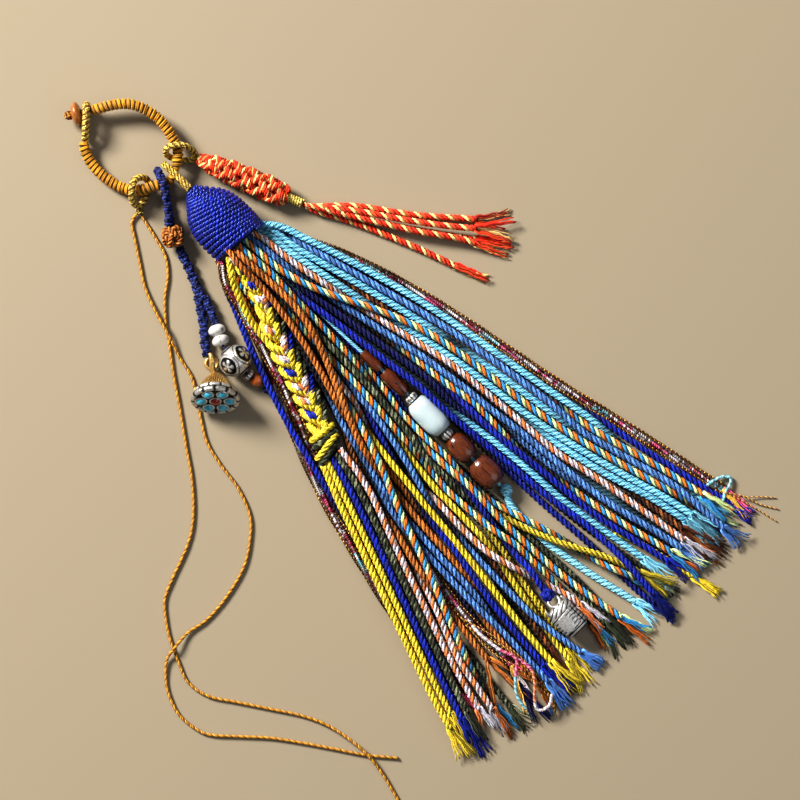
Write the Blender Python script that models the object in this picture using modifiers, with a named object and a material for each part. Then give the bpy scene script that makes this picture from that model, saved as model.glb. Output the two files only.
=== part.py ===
"""Cord tassel with a wound head, lying on a flat surface.

The skirt's cords hang from a head of wound cord, lie fanned out towards -Y and
cross over each other.  A hanging ring of wrapped cord closes on a button at the
+Y end, and two ties, a braid with beads and a small orange tassel hang from it.

Tables and named sizes are in millimetres; MM turns them into metres.  X runs
across the skirt, +Y towards the hanging ring, +Z up, and the surface is z = 0.
"""
import math

import bmesh
import bpy
import numpy as np
from mathutils import Matrix, Vector

MM = 0.001
GAP = 0.3                 # between pieces that touch on the real tassel

# ---- driving dimensions ----------------------------------------------------
HEAD_AXIS_Z = 12.0        # height of the wound head's axis
HEAD_TOP_Y = 20.6         # where the hanger enters the head
MOUTH_Y = -9.0            # where the skirt leaves the head
HEAD_TURNS = 21           # turns of cord wound on the head
WIND_DEPTH = 0.25         # how far the groove between two turns goes in

CORD_RADIUS = 1.6         # a skirt cord, 3.2 mm thick
SQUEEZED_RADIUS = 1.15    # the same cord in the grip of the head
SOLID_RADIUS = 1.36       # corner radius of a cord's four-sided solid
SOLID_LOWER = CORD_RADIUS - SOLID_RADIUS * math.cos(math.radians(45))

COLUMN_STEP = 20.0        # mm along the skirt between two columns of SKIRT
STATION_STEP = 5.0        # mm between the stations where the cords are settled
STATIONS = 47             # stations 0, 5, ... 230 mm below the mouth
ROOT_DEPTH = 4.0          # how far a cord runs into the head
FREED = 15.0              # from there a cord takes this far to its full thickness
FIRST_ROUNDS = 500        # rounds of settling at the mouth
ROUNDS = 90               # rounds of settling at each later station
LONGEST_MOVE = 1.2        # off its own way, from one station to the next
SMOOTHINGS = 14
GOLDEN = 0.618            # spreads the hidden cords through the bundle's depth
MOUTH_REACH = 10.5        # how far from the head's axis a cord may leave it

TIE_RADIUS = 0.75         # the thin gold ties
RING_RADIUS = 2.4         # the wrapped hanging ring
LOOP_RADIUS = 1.5         # gold cord of the small loops

# ---- the skirt -------------------------------------------------------------
# One row for each cord: yarn, length below the mouth, the layer it lies in at
# each column (0 on the surface, 1 above, 2 crossing over all), and its place
# across the skirt at each column, 0 to 220 mm below the mouth.
SKIRT = (
    ("metallic", 222, "000000000000", (10.0, 21.5, 29.0, 34.5, 39.0, 43.3, 47.5, 52.0, 57.0, 61.5, 65.0, 69.0)),
    ("light blue", 218, "111111110000", (9.8, 20.0, 27.0, 33.0, 37.2, 40.0, 43.8, 46.8, 49.8, 53.0, 57.0, 60.0)),
    ("cornflower", 228, "111111111110", (9.0, 18.0, 23.3, 28.3, 33.8, 37.5, 40.3, 42.5, 46.0, 50.5, 54.5, 54.5)),
    ("light blue", 218, "221111110000", (8.0, 15.0, 20.0, 25.3, 31.0, 34.6, 37.5, 40.0, 43.2, 47.0, 51.5, 53.0)),
    ("light blue", 220, "221111111110", (6.5, 12.0, 15.5, 20.5, 25.3, 28.7, 31.3, 34.0, 39.0, 45.0, 50.8, 52.0)),
    ("light blue", 219, "000000001111", (5.0, 9.0, 14.0, 19.0, 23.5, 27.0, 29.5, 31.0, 34.6, 41.0, 47.2, 51.0)),
    ("light blue", 218, "000000000011", (8.5, 14.0, 18.0, 22.0, 26.0, 28.5, 31.0, 31.5, 33.0, 37.0, 42.5, 48.5)),
    ("white orange", 224, "221111111111", (5.2, 9.0, 12.3, 16.8, 20.8, 24.8, 27.4, 29.2, 32.0, 35.5, 39.5, 42.5)),
    ("brown", 226, "000000000000", (4.0, 6.5, 10.5, 15.0, 19.0, 23.0, 25.5, 27.0, 31.0, 39.0, 45.0, 47.0)),
    ("three colour", 222, "222222111100", (1.5, 2.0, 10.0, 22.2, 28.8, 32.0, 34.5, 37.5, 42.7, 48.5, 52.5, 56.0)),
    ("three colour", 218, "000000011111", (9.5, 16.0, 24.0, 30.0, 35.0, 38.5, 42.0, 45.0, 48.7, 53.5, 59.0, 64.0)),
    ("navy", 224, "000000000000", (7.0, 18.5, 26.0, 31.5, 36.5, 40.5, 44.0, 47.0, 50.6, 55.5, 60.5, 66.0)),
    ("royal blue", 222, "221000000000", (3.3, 6.0, 10.0, 14.0, 18.5, 21.5, 23.5, 25.0, 27.5, 32.0, 36.5, 39.5)),
    ("royal blue", 222, "111111111111", (1.5, 4.0, 7.0, 11.5, 15.0, 17.5, 19.2, 20.3, 21.5, 24.5, 29.0, 33.0)),
    ("three colour", 224, "000111000111", (2.5, 6.5, 10.5, 14.0, 17.0, 19.4, 20.8, 21.5, 22.7, 26.0, 33.5, 38.0)),
    ("cornflower", 222, "000001111110", (4.0, 8.0, 12.0, 15.5, 19.0, 22.4, 23.1, 24.0, 26.0, 30.5, 36.0, 38.0)),
    ("light blue", 224, "000000001100", (6.0, 10.0, 13.0, 16.0, 19.5, 21.5, 23.5, 25.5, 28.2, 33.0, 38.0, 41.0)),
    ("three colour", 220, "220000010000", (-0.5, -1.0, 1.5, 5.5, 9.0, 11.5, 14.5, 17.6, 18.6, 21.0, 24.0, 27.0)),
    ("light blue", 222, "111111110011", (0.5, 0.8, 3.8, 7.5, 10.8, 13.2, 15.0, 17.6, 18.3, 20.7, 25.5, 26.6)),
    ("royal blue", 228, "111111111122", (-1.5, -0.5, 2.5, 4.8, 7.4, 9.8, 11.4, 14.0, 16.2, 18.8, 18.3, 17.0)),
    ("royal blue", 230, "000000000000", (-3.0, -2.0, 1.0, 4.5, 7.5, 10.3, 10.8, 10.8, 11.5, 13.3, 12.3, 13.3)),
    ("olive", 224, "000000000000", (3.0, 3.0, 6.0, 9.5, 12.0, 13.5, 14.5, 14.5, 14.4, 17.0, 21.0, 23.0)),
    ("yellow", 221, "000000001111", (-5.0, -4.0, -2.0, -2.5, -3.5, -4.0, -4.0, -3.8, -0.5, 7.5, 15.5, 22.5)),
    ("three colour", 228, "011111111111", (-2.5, -2.8, -1.2, -2.0, -2.7, -3.0, -3.3, -4.0, -4.0, -4.2, -1.0, 3.0)),
    ("olive", 226, "000000000000", (-3.5, -5.5, -3.0, -3.8, -4.7, -6.0, -8.0, -8.0, -5.0, -2.6, -2.5, -3.0)),
    ("olive", 224, "000000000000", (-1.0, -1.0, 0.0, -0.5, -1.5, -2.0, -2.2, -2.4, -1.6, -0.8, -1.5, -7.5)),
    ("olive", 222, "000000000000", (-6.0, -8.0, -9.0, -10.0, -11.5, -13.0, -14.6, -15.8, -20.0, -25.0, -27.5, -29.0)),
    ("royal blue", 186, "011100111222", (0.5, 1.0, 1.5, 0.7, -1.5, -4.0, -5.9, -7.3, -9.2, -12.2, -13.0, -13.0)),
    ("white orange", 213, "000000111111", (-7.5, -8.5, -9.0, -11.0, -13.5, -15.5, -17.6, -19.0, -17.3, -10.0, -5.6, -9.0)),
    ("three colour", 220, "000001110000", (-5.5, -6.5, -6.5, -7.0, -8.0, -9.3, -11.0, -11.3, -8.4, -8.2, -6.0, -11.0)),
    ("yellow", 224, "011111111100", (-3.5, -2.5, -4.5, -4.8, -8.3, -12.8, -13.9, -13.6, -17.2, -20.6, -24.0, -26.0)),
    ("yellow", 222, "000000011100", (-4.5, -3.5, -5.5, -6.5, -7.5, -8.5, -9.2, -9.4, -12.6, -19.0, -21.5, -24.0)),
    ("cornflower", 223, "011111101111", (-6.5, -6.5, -6.5, -8.0, -8.0, -11.0, -18.0, -20.8, -22.0, -22.7, -22.3, -17.5)),
    ("royal blue", 222, "011111111111", (-4.5, -4.5, -3.8, -7.3, -13.0, -18.3, -24.5, -27.5, -29.5, -33.0, -35.5, -38.0)),
    ("yellow", 223, "001222222221", (-7.5, -10.0, -14.0, -18.2, -19.5, -19.9, -21.0, -23.3, -25.8, -28.2, -31.0, -31.5)),
    ("orange brown", 222, "222211110000", (-3.0, -3.5, -1.5, -12.0, -21.3, -25.7, -28.3, -29.8, -31.5, -35.0, -38.0, -41.0)),
    ("orange brown", 220, "221100000110", (-5.5, -4.5, -9.0, -13.5, -18.0, -22.5, -27.5, -33.5, -37.6, -38.3, -39.5, -43.0)),
    ("three colour", 218, "001111110000", (-6.0, -8.0, -10.0, -12.5, -16.3, -22.5, -32.0, -37.4, -45.5, -52.0, -56.0, -60.0)),
    ("cornflower", 222, "000000111000", (-7.0, -9.0, -12.0, -16.0, -22.5, -27.0, -31.0, -31.8, -33.0, -34.8, -36.5, -38.0)),
    ("cornflower", 224, "000000011110", (-8.0, -11.0, -15.0, -20.0, -25.5, -30.0, -33.0, -34.4, -35.2, -36.1, -37.0, -36.0)),
    ("orange brown", 212, "000000011111", (-9.0, -13.0, -18.0, -23.5, -29.5, -34.0, -39.0, -43.3, -45.3, -47.5, -49.5, -54.0)),
    ("metallic", 216, "000000001111", (-7.5, -10.0, -15.0, -20.5, -26.0, -31.5, -37.0, -41.0, -43.0, -42.5, -40.5, -44.0)),
    ("metallic", 200, "000000000000", (-10.2, -19.5, -24.6, -32.2, -39.8, -44.6, -50.0, -54.5, -59.0, -64.5, -70.0, -73.0)),
    ("royal blue", 214, "000000000000", (-10.0, -22.5, -27.2, -35.0, -43.0, -48.0, -52.6, -57.5, -62.5, -68.5, -73.0, -77.0)),
    ("metallic", 170, "011111000000", (-9.0, -21.5, -26.5, -33.8, -42.0, -51.0, -56.0, -60.3, -65.5, -70.0, -75.0, -78.0)),
    ("navy", 223, "000000000000", (0.0, 3.0, 7.0, 10.5, 13.0, 15.5, 17.5, 19.0, 22.0, 26.0, 31.0, 36.0)),
    ("navy", 221, "000000000000", (2.0, 12.0, 17.0, 22.5, 28.5, 32.5, 35.0, 37.0, 39.5, 43.0, 47.0, 50.0)),
    ("brown", 219, "000000000000", (-2.0, -5.0, -8.0, -13.5, -15.5, -19.0, -22.5, -25.5, -28.5, -31.5, -34.0, -35.0)),
    ("navy", 222, "000000000000", (-4.0, -7.0, -11.0, -15.0, -19.5, -23.5, -27.5, -31.0, -36.0, -41.0, -46.0, -49.0)),
    ("olive", 221, "000000000000", (1.0, 5.0, 8.5, 13.0, 17.5, 25.0, 31.5, 34.0, 36.5, 40.0, 44.5, 45.0)),
)

# The cords that leave the end of the fishtail braid, 84 mm below the mouth.
# Their columns start at 80 mm.
BRAID_TAILS = (
    ("white orange", 209, "11111111", (-30.5, -30.7, -39.0, -46.0, -54.5, -60.0, -65.3, -69.0)),
    ("olive", 210, "11111111", (-32.5, -36.3, -43.0, -50.0, -57.2, -64.7, -71.0, -75.0)),
    ("royal blue", 209, "11111111", (-34.5, -38.9, -45.9, -53.1, -60.6, -68.0, -74.0, -78.0)),
    ("yellow", 209, "11111111", (-35.5, -41.9, -49.1, -56.2, -63.4, -70.6, -76.5, -79.0)),
    ("yellow", 210, "11111111", (-37.0, -45.0, -52.5, -59.5, -65.6, -72.4, -79.0, -82.0)),
    ("white orange", 215, "00001111", (-31.5, -33.5, -37.0, -42.5, -49.0, -55.3, -60.5, -64.0)),
    ("olive", 219, "00000000", (-33.5, -37.0, -41.5, -46.5, -50.0, -53.0, -55.0, -56.0)),
)
TAIL_FIRST_COLUMN = 80.0
TAIL_ROOT = 81.0          # where they start, inside the braid's end

# Fishtail braid: below the mouth, across, height of its middle, half width,
# half height.
BRAID = (
    (1.2, -7.8, 17.0, 2.4, 2.2),
    (10.0, -10.5, 14.6, 4.0, 2.8),
    (20.0, -12.8, 11.6, 4.8, 3.0),
    (30.0, -15.0, 9.4, 5.4, 3.1),
    (40.0, -17.8, 7.6, 5.8, 3.1),
    (50.0, -20.9, 6.0, 5.8, 3.1),
    (60.0, -24.3, 4.6, 5.7, 3.1),
    (70.0, -28.0, 3.7, 5.5, 3.0),
    (80.0, -31.8, 3.3, 5.0, 2.9),
    (85.0, -33.8, 3.2, 4.6, 2.7),
)
BRAID_PITCH = 7.0         # from one V of the braid to the next
PLAIT_VALLEY = 0.86       # a plait's width between two of its V's

# String of beads in the skirt: name, first and last place below the mouth,
# radius, material.
BEADS = (
    ("slim_bead", 64.0, 74.0, 2.2, "dark wood"),
    ("wood_bead_1", 75.5, 88.0, 3.1, "dark wood"),
    ("spacer_1", 89.3, 92.0, 2.8, "silver"),
    ("jade_bead", 92.6, 109.0, 5.3, "jade"),
    ("spacer_2", 109.4, 112.8, 2.8, "silver"),
    ("wood_bead_2", 113.3, 124.5, 4.8, "dark wood"),
    ("wood_bead_3", 126.5, 139.0, 5.5, "dark wood"),
)
# Below the mouth, across, height: the string from the head through the beads,
# to the knot and the light blue tail.
STRING = (
    (0.4, 1.5, 10.0), (20.0, 2.0, 9.2), (40.0, 2.4, 8.6), (60.0, 3.0, 8.2), (76.0, 3.8, 7.6),
    (92.0, 4.3, 6.0), (110.0, 4.1, 5.6), (125.0, 4.3, 5.7), (140.4, 4.6, 5.7),
)
LIGHT_TAIL = ((143.5, 5.0, 3.2), (147.0, 2.8, 2.2), (151.0, 1.8, 1.6), (160.0, 1.3, 1.5), (170.0, 1.6, 1.5),
              (180.0, 3.2, 1.5), (190.0, 5.0, 1.5), (200.0, 7.2, 1.5), (210.0, 9.6, 1.5), (226.0, 12.6, 1.5))
STRING_RADIUS = 0.8
# The small silver charm on a royal blue cord: below the mouth, across, height;
# then its half width, half length and half thickness.
CHARM_AT = (197.8, -13.6, 6.9)
CHARM_SIZE = (6.3, 6.2, 3.7)
BEAD_SLOPE = 0.30         # how fast the cords close in again beside a bead
BORE_RADIUS = 1.15

# ---- colours: linear red, green, blue, then roughness and metallic ---------
MATERIALS = {
    "skirt": ((0.16, 0.52, 0.74), 0.85, 0.0),
    "fishtail": ((0.90, 0.62, 0.06), 0.85, 0.0),
    "ring cord": ((0.42, 0.21, 0.03), 0.7, 0.1),
    "gold cord": ((0.55, 0.40, 0.06), 0.5, 0.3),
    "orange cord": ((0.72, 0.08, 0.02), 0.85, 0.0),
    "navy cord": ((0.02, 0.02, 0.14), 0.85, 0.0),
    "knot cord": ((0.42, 0.16, 0.05), 0.8, 0.0),
    "light cord": ((0.16, 0.52, 0.74), 0.85, 0.0),
    "royal cord": ((0.02, 0.03, 0.38), 0.85, 0.0),
    "orange wood": ((0.40, 0.12, 0.03), 0.35, 0.0),
    "dark wood": ((0.13, 0.03, 0.01), 0.3, 0.0),
    "silver": ((0.45, 0.44, 0.42), 0.35, 1.0),
    "gilt": ((0.45, 0.28, 0.10), 0.35, 1.0),
    "jade": ((0.60, 0.70, 0.64), 0.25, 0.0),
    "white bead": ((0.75, 0.74, 0.68), 0.3, 0.0),
    "turquoise": ((0.07, 0.38, 0.50), 0.3, 0.0),
    "red stone": ((0.33, 0.01, 0.01), 0.25, 0.0),
    "orange bead": ((0.62, 0.13, 0.02), 0.25, 0.0),
}


def clear_scene():
    for item in list(bpy.data.objects):
        bpy.data.objects.remove(item, do_unlink=True)


def make_collection(name):
    collection = bpy.data.collections.new(name)
    bpy.context.scene.collection.children.link(collection)
    return collection


def make_material(name, colour, roughness, metallic):
    material = bpy.data.materials.new(name)
    material.use_nodes = True
    shader = material.node_tree.nodes["Principled BSDF"]
    shader.inputs["Base Color"].default_value = (*colour, 1.0)
    shader.inputs["Roughness"].default_value = roughness
    shader.inputs["Metallic"].default_value = metallic
    material.diffuse_color = (*colour, 1.0)
    return material


def add_object(name, data, material_name, group=None):
    """One named object in the part's collection, with a material of its own."""
    item = bpy.data.objects.new(name, data)
    (group or PARTS).objects.link(item)
    if material_name:
        material = make_material(name + " " + material_name, *MATERIALS[material_name])
        data.materials.append(material)
    return item


def below(distance, across, height):
    """A point of the skirt, given below the mouth, across and up."""
    return (across, MOUTH_Y - distance, height)


# ---- smooth routes ---------------------------------------------------------
def smooth_route(points, spacing):
    """Even samples of the Catmull-Rom curve through the points."""
    points = np.asarray(points, float)
    ends = (2 * points[0] - points[1], 2 * points[-1] - points[-2])
    padded = np.vstack((ends[0], points, ends[1]))
    t = np.linspace(0.0, 1.0, 17)[:-1, None]
    pieces = []
    for a, b, c, d in zip(padded, padded[1:], padded[2:], padded[3:]):
        pieces.append(0.5 * (2 * b + (c - a) * t + (2 * a - 5 * b + 4 * c - d) * t**2
                             + (3 * b - a - 3 * c + d) * t**3))
    curve = np.vstack(pieces + [points[-1:]])
    along = np.concatenate(([0.0], np.cumsum(np.linalg.norm(np.diff(curve, axis=0), axis=1))))
    count = max(3, int(round(along[-1] / spacing)) + 1)
    wanted = np.linspace(0.0, along[-1], count)
    return np.column_stack([np.interp(wanted, along, curve[:, k]) for k in range(3)])


def tube_curve(points, radius, resolution=2, factors=None, cyclic=False):
    """Curve data for a round tube; factors scale its radius at each point."""
    curve = bpy.data.curves.new("tube", "CURVE")
    curve.dimensions = "3D"
    curve.bevel_depth = radius * MM
    curve.bevel_resolution = resolution
    curve.use_fill_caps = True
    curve.twist_mode = "MINIMUM"
    spline = curve.splines.new("POLY")
    spline.points.add(len(points) - 1)
    spline.use_cyclic_u = cyclic
    for k, (place, point) in enumerate(zip(points, spline.points)):
        point.co = (place[0] * MM, place[1] * MM, place[2] * MM, 1.0)
        point.radius = 1.0 if factors is None else factors[k]
    return curve


def add_tube(name, material, points, radius, spacing, resolution=2, factors=None, cyclic=False):
    route = smooth_route(points, spacing)
    if cyclic:
        route = smooth_route(list(points) + [points[0]], spacing)[:-1]
    values = None if factors is None else factors(np.linspace(0.0, 1.0, len(route)))
    return add_object(name, tube_curve(route, radius, resolution, values, cyclic), material)


def as_mesh(item):
    """Replace an object by one with its evaluated mesh, caps welded on."""
    depsgraph = bpy.context.evaluated_depsgraph_get()
    mesh = bpy.data.meshes.new_from_object(item.evaluated_get(depsgraph))
    work = bmesh.new()
    work.from_mesh(mesh)
    bmesh.ops.remove_doubles(work, verts=work.verts, dist=1e-7)
    bmesh.ops.recalc_face_normals(work, faces=work.faces)
    work.to_mesh(mesh)
    work.free()
    fresh = bpy.data.objects.new(item.name + "_mesh", mesh)
    item.users_collection[0].objects.link(fresh)
    fresh.matrix_world = item.matrix_world
    name = item.name
    bpy.data.objects.remove(item, do_unlink=True)
    fresh.name = name
    return fresh


def boolean(item, other, operation):
    """Apply one exact Boolean and remove its other object."""
    modifier = item.modifiers.new(operation, "BOOLEAN")
    modifier.operation = operation
    modifier.solver = "EXACT"
    modifier.use_self = True
    modifier.object = other
    bpy.context.view_layer.update()
    name = item.name
    fresh = as_mesh(item)
    bpy.data.objects.remove(other, do_unlink=True)
    fresh.name = name
    return fresh


def shade(item, degrees=35.0):
    item.data.shade_smooth()
    item.data.set_sharp_from_angle(angle=math.radians(degrees))


# ---- turned pieces ---------------------------------------------------------
def turned(name, material, profile, steps, place, axis, closed=False):
    """A profile of (radius, height) pairs, top first, screwed about an axis.

    The profile's heights run along the axis from the place.  A closed profile
    goes down its outside and back up its bore.
    """
    mesh = bpy.data.meshes.new(name)
    corners = [(radius * MM, 0.0, height * MM) for radius, height in profile]
    count = len(corners)
    edges = [(k, k + 1) for k in range(count - 1)]
    if closed:
        edges.append((count - 1, 0))
    mesh.from_pydata(corners, edges, [])
    item = add_object(name, mesh, material)
    screw = item.modifiers.new("Screw", "SCREW")
    screw.axis = "Z"
    screw.steps = steps
    screw.render_steps = steps
    screw.use_merge_vertices = True
    screw.merge_threshold = 1e-5
    screw.use_smooth_shade = True
    turn = Vector((0.0, 0.0, 1.0)).rotation_difference(Vector(axis).normalized())
    item.matrix_world = Matrix.Translation(Vector(place) * MM) @ turn.to_matrix().to_4x4()
    bpy.context.view_layer.update()
    return item


def barrel(length, radius, end_radius, bore, rows):
    """Closed profile of a bored barrel bead, from its top at length to 0."""
    outside = []
    for k in range(rows + 1):
        part = k / rows
        bulge = math.sqrt(max(0.0, 1.0 - (2.0 * part - 1.0) ** 2))
        outside.append((end_radius + (radius - end_radius) * bulge, length * (1.0 - part)))
    return outside + [(bore, 0.0), (bore, length)]


def ball(name, material, place, radii, rings=8, segments=12, turn=0.0):
    """An ellipsoid from a sphere primitive, turned about the vertical."""
    mesh = bpy.data.meshes.new(name)
    work = bmesh.new()
    bmesh.ops.create_uvsphere(work, u_segments=segments, v_segments=rings, radius=1.0)
    scale = Matrix.Diagonal((*[radius * MM for radius in radii], 1.0))
    work.transform(Matrix.Rotation(turn, 4, "Z") @ scale)
    work.to_mesh(mesh)
    work.free()
    item = add_object(name, mesh, material)
    item.location = Vector(place) * MM
    shade(item, 60.0)
    return item


# ---- settling the skirt ----------------------------------------------------
def columns_to_stations(values, count):
    """Columns 20 mm apart to stations on the Catmull-Rom curve through them."""
    values = np.asarray(values, float)
    step = values[-1] - values[-2]
    padded = np.concatenate(([2 * values[0] - values[1]], values, values[-1] + step * np.arange(1, 4)))
    place = np.arange(count) * STATION_STEP / COLUMN_STEP
    first = np.minimum(place.astype(int), len(padded) - 4)
    t = place - first
    a, b, c, d = [padded[first + k] for k in range(4)]
    return 0.5 * (2 * b + (c - a) * t + (2 * a - 5 * b + 4 * c - d) * t**2 + (3 * b - a - 3 * c + d) * t**3)


def skirt_targets():
    """Where the tables want every cord: across, layer, and where it is live."""
    across = []
    layer = []
    live = []
    lead = int(TAIL_FIRST_COLUMN / STATION_STEP)
    for rows, start in ((SKIRT, 0), (BRAID_TAILS, lead)):
        for _, length, layers, places in rows:
            digits = [float(digit) for digit in layers]
            across.append(columns_to_stations(places, STATIONS - start))
            layer.append(columns_to_stations(digits, STATIONS - start))
            across[-1] = np.concatenate((np.full(start, places[0]), across[-1]))
            layer[-1] = np.concatenate((np.full(start, digits[0]), layer[-1]))
            station = np.arange(STATIONS)
            first = start + 1 if start else 0
            live.append((station >= first) & (station * STATION_STEP <= length + STATION_STEP))
    return np.array(across), np.array(layer), np.array(live)


def obstacles(distance):
    """Round obstacles in the skirt at each station: the braid and the beads."""
    braid = np.array(BRAID)
    rows = []
    for side in (-1.0, 0.0, 1.0):
        # a little more room where the tails are about to leave the braid
        middle = np.interp(distance, braid[:, 0], braid[:, 1])
        height = np.interp(distance, braid[:, 0], braid[:, 2])
        half = np.interp(distance, braid[:, 0], braid[:, 3]) + np.interp(distance, (60.0, 75.0), (0.2, 1.2))
        thick = np.interp(distance, braid[:, 0], braid[:, 4])
        radius = np.where(distance < TAIL_ROOT, thick + 1.5 * GAP, 0.0)
        rows.append((middle + side * (half - thick), height, radius))
    string = np.array(STRING)
    size = np.full(len(distance), STRING_RADIUS + 2.5 * GAP)
    for _, start, end, radius, _ in BEADS:
        beyond = np.maximum(0.0, np.maximum(start - distance, distance - end))
        size = np.maximum(size, radius + GAP - BEAD_SLOPE * np.maximum(0.0, beyond - 3.0))
    size = np.where(distance < 148.0, size, 0.0)
    rows.append((np.interp(distance, string[:, 0], string[:, 1]),
                 np.interp(distance, string[:, 0], string[:, 2]), size))
    tail = np.array(LIGHT_TAIL)
    rows.append((np.interp(distance, tail[:, 0], tail[:, 1]), np.interp(distance, tail[:, 0], tail[:, 2]),
                 np.where(distance >= 148.0, CORD_RADIUS, 0.0)))
    beyond = np.maximum(0.0, np.abs(distance - CHARM_AT[0]) - CHARM_SIZE[1])
    size = np.where(beyond < 6.0, CHARM_SIZE[2] - GAP - 0.5 * beyond, 0.0)
    for side in (-1.0, 1.0):
        rows.append((np.full(len(distance), CHARM_AT[1] + side * (CHARM_SIZE[0] - CHARM_SIZE[2])),
                     np.full(len(distance), CHARM_AT[2]), size))
    return [np.array(column) for column in zip(*rows)]


def push_apart(v, z, size, loose, lean):
    """One round of moving overlapping circles apart, along their middles."""
    dv = (v[:, None] - v[None]) * 0.5 * (lean[:, None] + lean[None])
    dz = z[:, None] - z[None]
    apart = np.sqrt(dv**2 + dz**2) + 1e-6
    need = np.where((size[:, None] > 0) & (size[None] > 0), size[:, None] + size[None], 0.0)
    np.fill_diagonal(need, 0.0)
    over = np.clip(need - apart, 0.0, None) * loose[:, None] / np.maximum(loose[:, None] + loose[None], 1.0)
    return v + 0.45 * (over * dv / apart).sum(axis=1), z + 0.45 * (over * dz / apart).sum(axis=1)


def settle():
    """Lay the cords beside and on each other, none through its neighbour.

    A slice across the skirt has a circle for each cord.  The slice is carried
    from the mouth to the ends of the skirt, station by station.  Each circle is
    drawn to its place in the tables, but it moves less than its own radius from
    one station to the next and is pushed off its neighbours, so two cords that
    change places roll over each other.
    """
    distance = np.arange(STATIONS) * STATION_STEP
    across, layer, live = skirt_targets()
    gripped = np.repeat((0.0, TAIL_ROOT + ROOT_DEPTH), (len(SKIRT), len(BRAID_TAILS)))
    freed = np.clip((distance - gripped[:, None]) / FREED, 0.0, 1.0)
    radius = SQUEEZED_RADIUS + (CORD_RADIUS - SQUEEZED_RADIUS) * freed
    crown = np.interp(distance, (0, 20, 40, 60, 100, 160, 230), (22.6, 17.5, 13.0, 10.4, 9.2, 8.6, 7.0))
    left, right = across.min(axis=0), across.max(axis=0)
    offset = (across - (left + right) / 2) / ((right - left) / 2)
    domed = np.clip(1.0 - distance / 60.0, 0.0, 1.0)
    fall = 1.0 - domed * (1.0 - np.sqrt(np.clip(1.0 - offset**2, 0.06, 1.0)))
    ground = radius + np.clip(1.0 - distance / 10.0, 0.0, 1.0) * 0.9
    spread = np.modf(np.arange(len(across)) * GOLDEN)[0]
    depth = np.maximum(layer.clip(0, 2) / 2, 0.7 * spread[:, None] * domed)
    fixed = obstacles(distance)
    want_v = np.vstack((across, fixed[0]))
    want_z = np.vstack((ground + (crown * fall - ground - radius) * depth, fixed[1]))
    size = np.vstack((np.where(live, radius, 0.0), fixed[2]))
    lean = 1.0 / np.sqrt(1.0 + np.gradient(want_v, STATION_STEP, axis=1) ** 2)
    count = len(across)
    loose = np.repeat((1.0, 0.0), (count, len(size) - count))
    v, z = want_v[:, 0].copy(), want_z[:, 0].copy()
    laid_v, laid_z = np.zeros(want_v.shape), np.zeros(want_v.shape)
    for k in range(STATIONS):
        fresh = (size[:, k] == 0) | (loose == 0)
        if k:
            fresh |= size[:, k - 1] == 0
        v[fresh], z[fresh] = want_v[fresh, k], want_z[fresh, k]
        last_v, last_z = v.copy(), z.copy()
        rounds = FIRST_ROUNDS if k == 0 else ROUNDS
        farthest = LONGEST_MOVE + np.abs(want_v[:, k] - want_v[:, max(0, k - 1)])
        for turn in range(rounds):
            pull = 0.2 * max(0.0, 1.0 - 1.6 * turn / rounds)
            v += loose * pull * np.clip(want_v[:, k] - v, -1.5, 1.5)
            z += loose * pull * np.clip(want_z[:, k] - z, -1.5, 1.5)
            if k and turn < 0.8 * rounds:
                v = last_v + np.clip(v - last_v, -farthest, farthest)
                z = last_z + np.clip(z - last_z, -LONGEST_MOVE, LONGEST_MOVE)
            v, z = push_apart(v, z, size[:, k], loose, lean[:, k])
            z[:count] = np.maximum(z[:count], ground[:, k])
            if k == 0:
                reach = np.hypot(v[:count], z[:count] - HEAD_AXIS_Z)
                shrink = np.minimum(1.0, MOUTH_REACH / np.maximum(reach, 1e-6))
                v[:count] *= shrink
                z[:count] = HEAD_AXIS_Z + (z[:count] - HEAD_AXIS_Z) * shrink
        laid_v[:, k], laid_z[:, k] = v, z
    for _ in range(SMOOTHINGS):
        for track in (laid_v, laid_z):
            bend = track[:count, :-2] + track[:count, 2:] - 2 * track[:count, 1:-1]
            steady = live[:, :-2] & live[:, 1:-1]
            track[:count, 1:-1] += 0.25 * bend * steady
        for k in range(1, STATIONS):
            for _ in range(5):
                laid_v[:, k], laid_z[:, k] = push_apart(laid_v[:, k], laid_z[:, k], size[:, k], loose, lean[:, k])
                laid_z[:count, k] = np.maximum(laid_z[:count, k], ground[:, k])
    return distance, laid_v[:count], laid_z[:count]


def few_stations(distance, v, z, tolerance):
    """The stations that a straight-sided solid needs to follow a settled cord."""
    keep = {0, len(distance) - 1}
    spans = [(0, len(distance) - 1)]
    while spans:
        first, last = spans.pop()
        if last - first < 2:
            continue
        inner = np.arange(first + 1, last)
        part = (distance[inner] - distance[first]) / (distance[last] - distance[first])
        error = np.hypot(v[inner] - v[first] - part * (v[last] - v[first]),
                         z[inner] - z[first] - part * (z[last] - z[first]))
        worst = int(np.argmax(error))
        if error[worst] > tolerance:
            keep.add(int(inner[worst]))
            spans += [(first, int(inner[worst])), (int(inner[worst]), last)]
    return sorted(keep)


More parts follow.
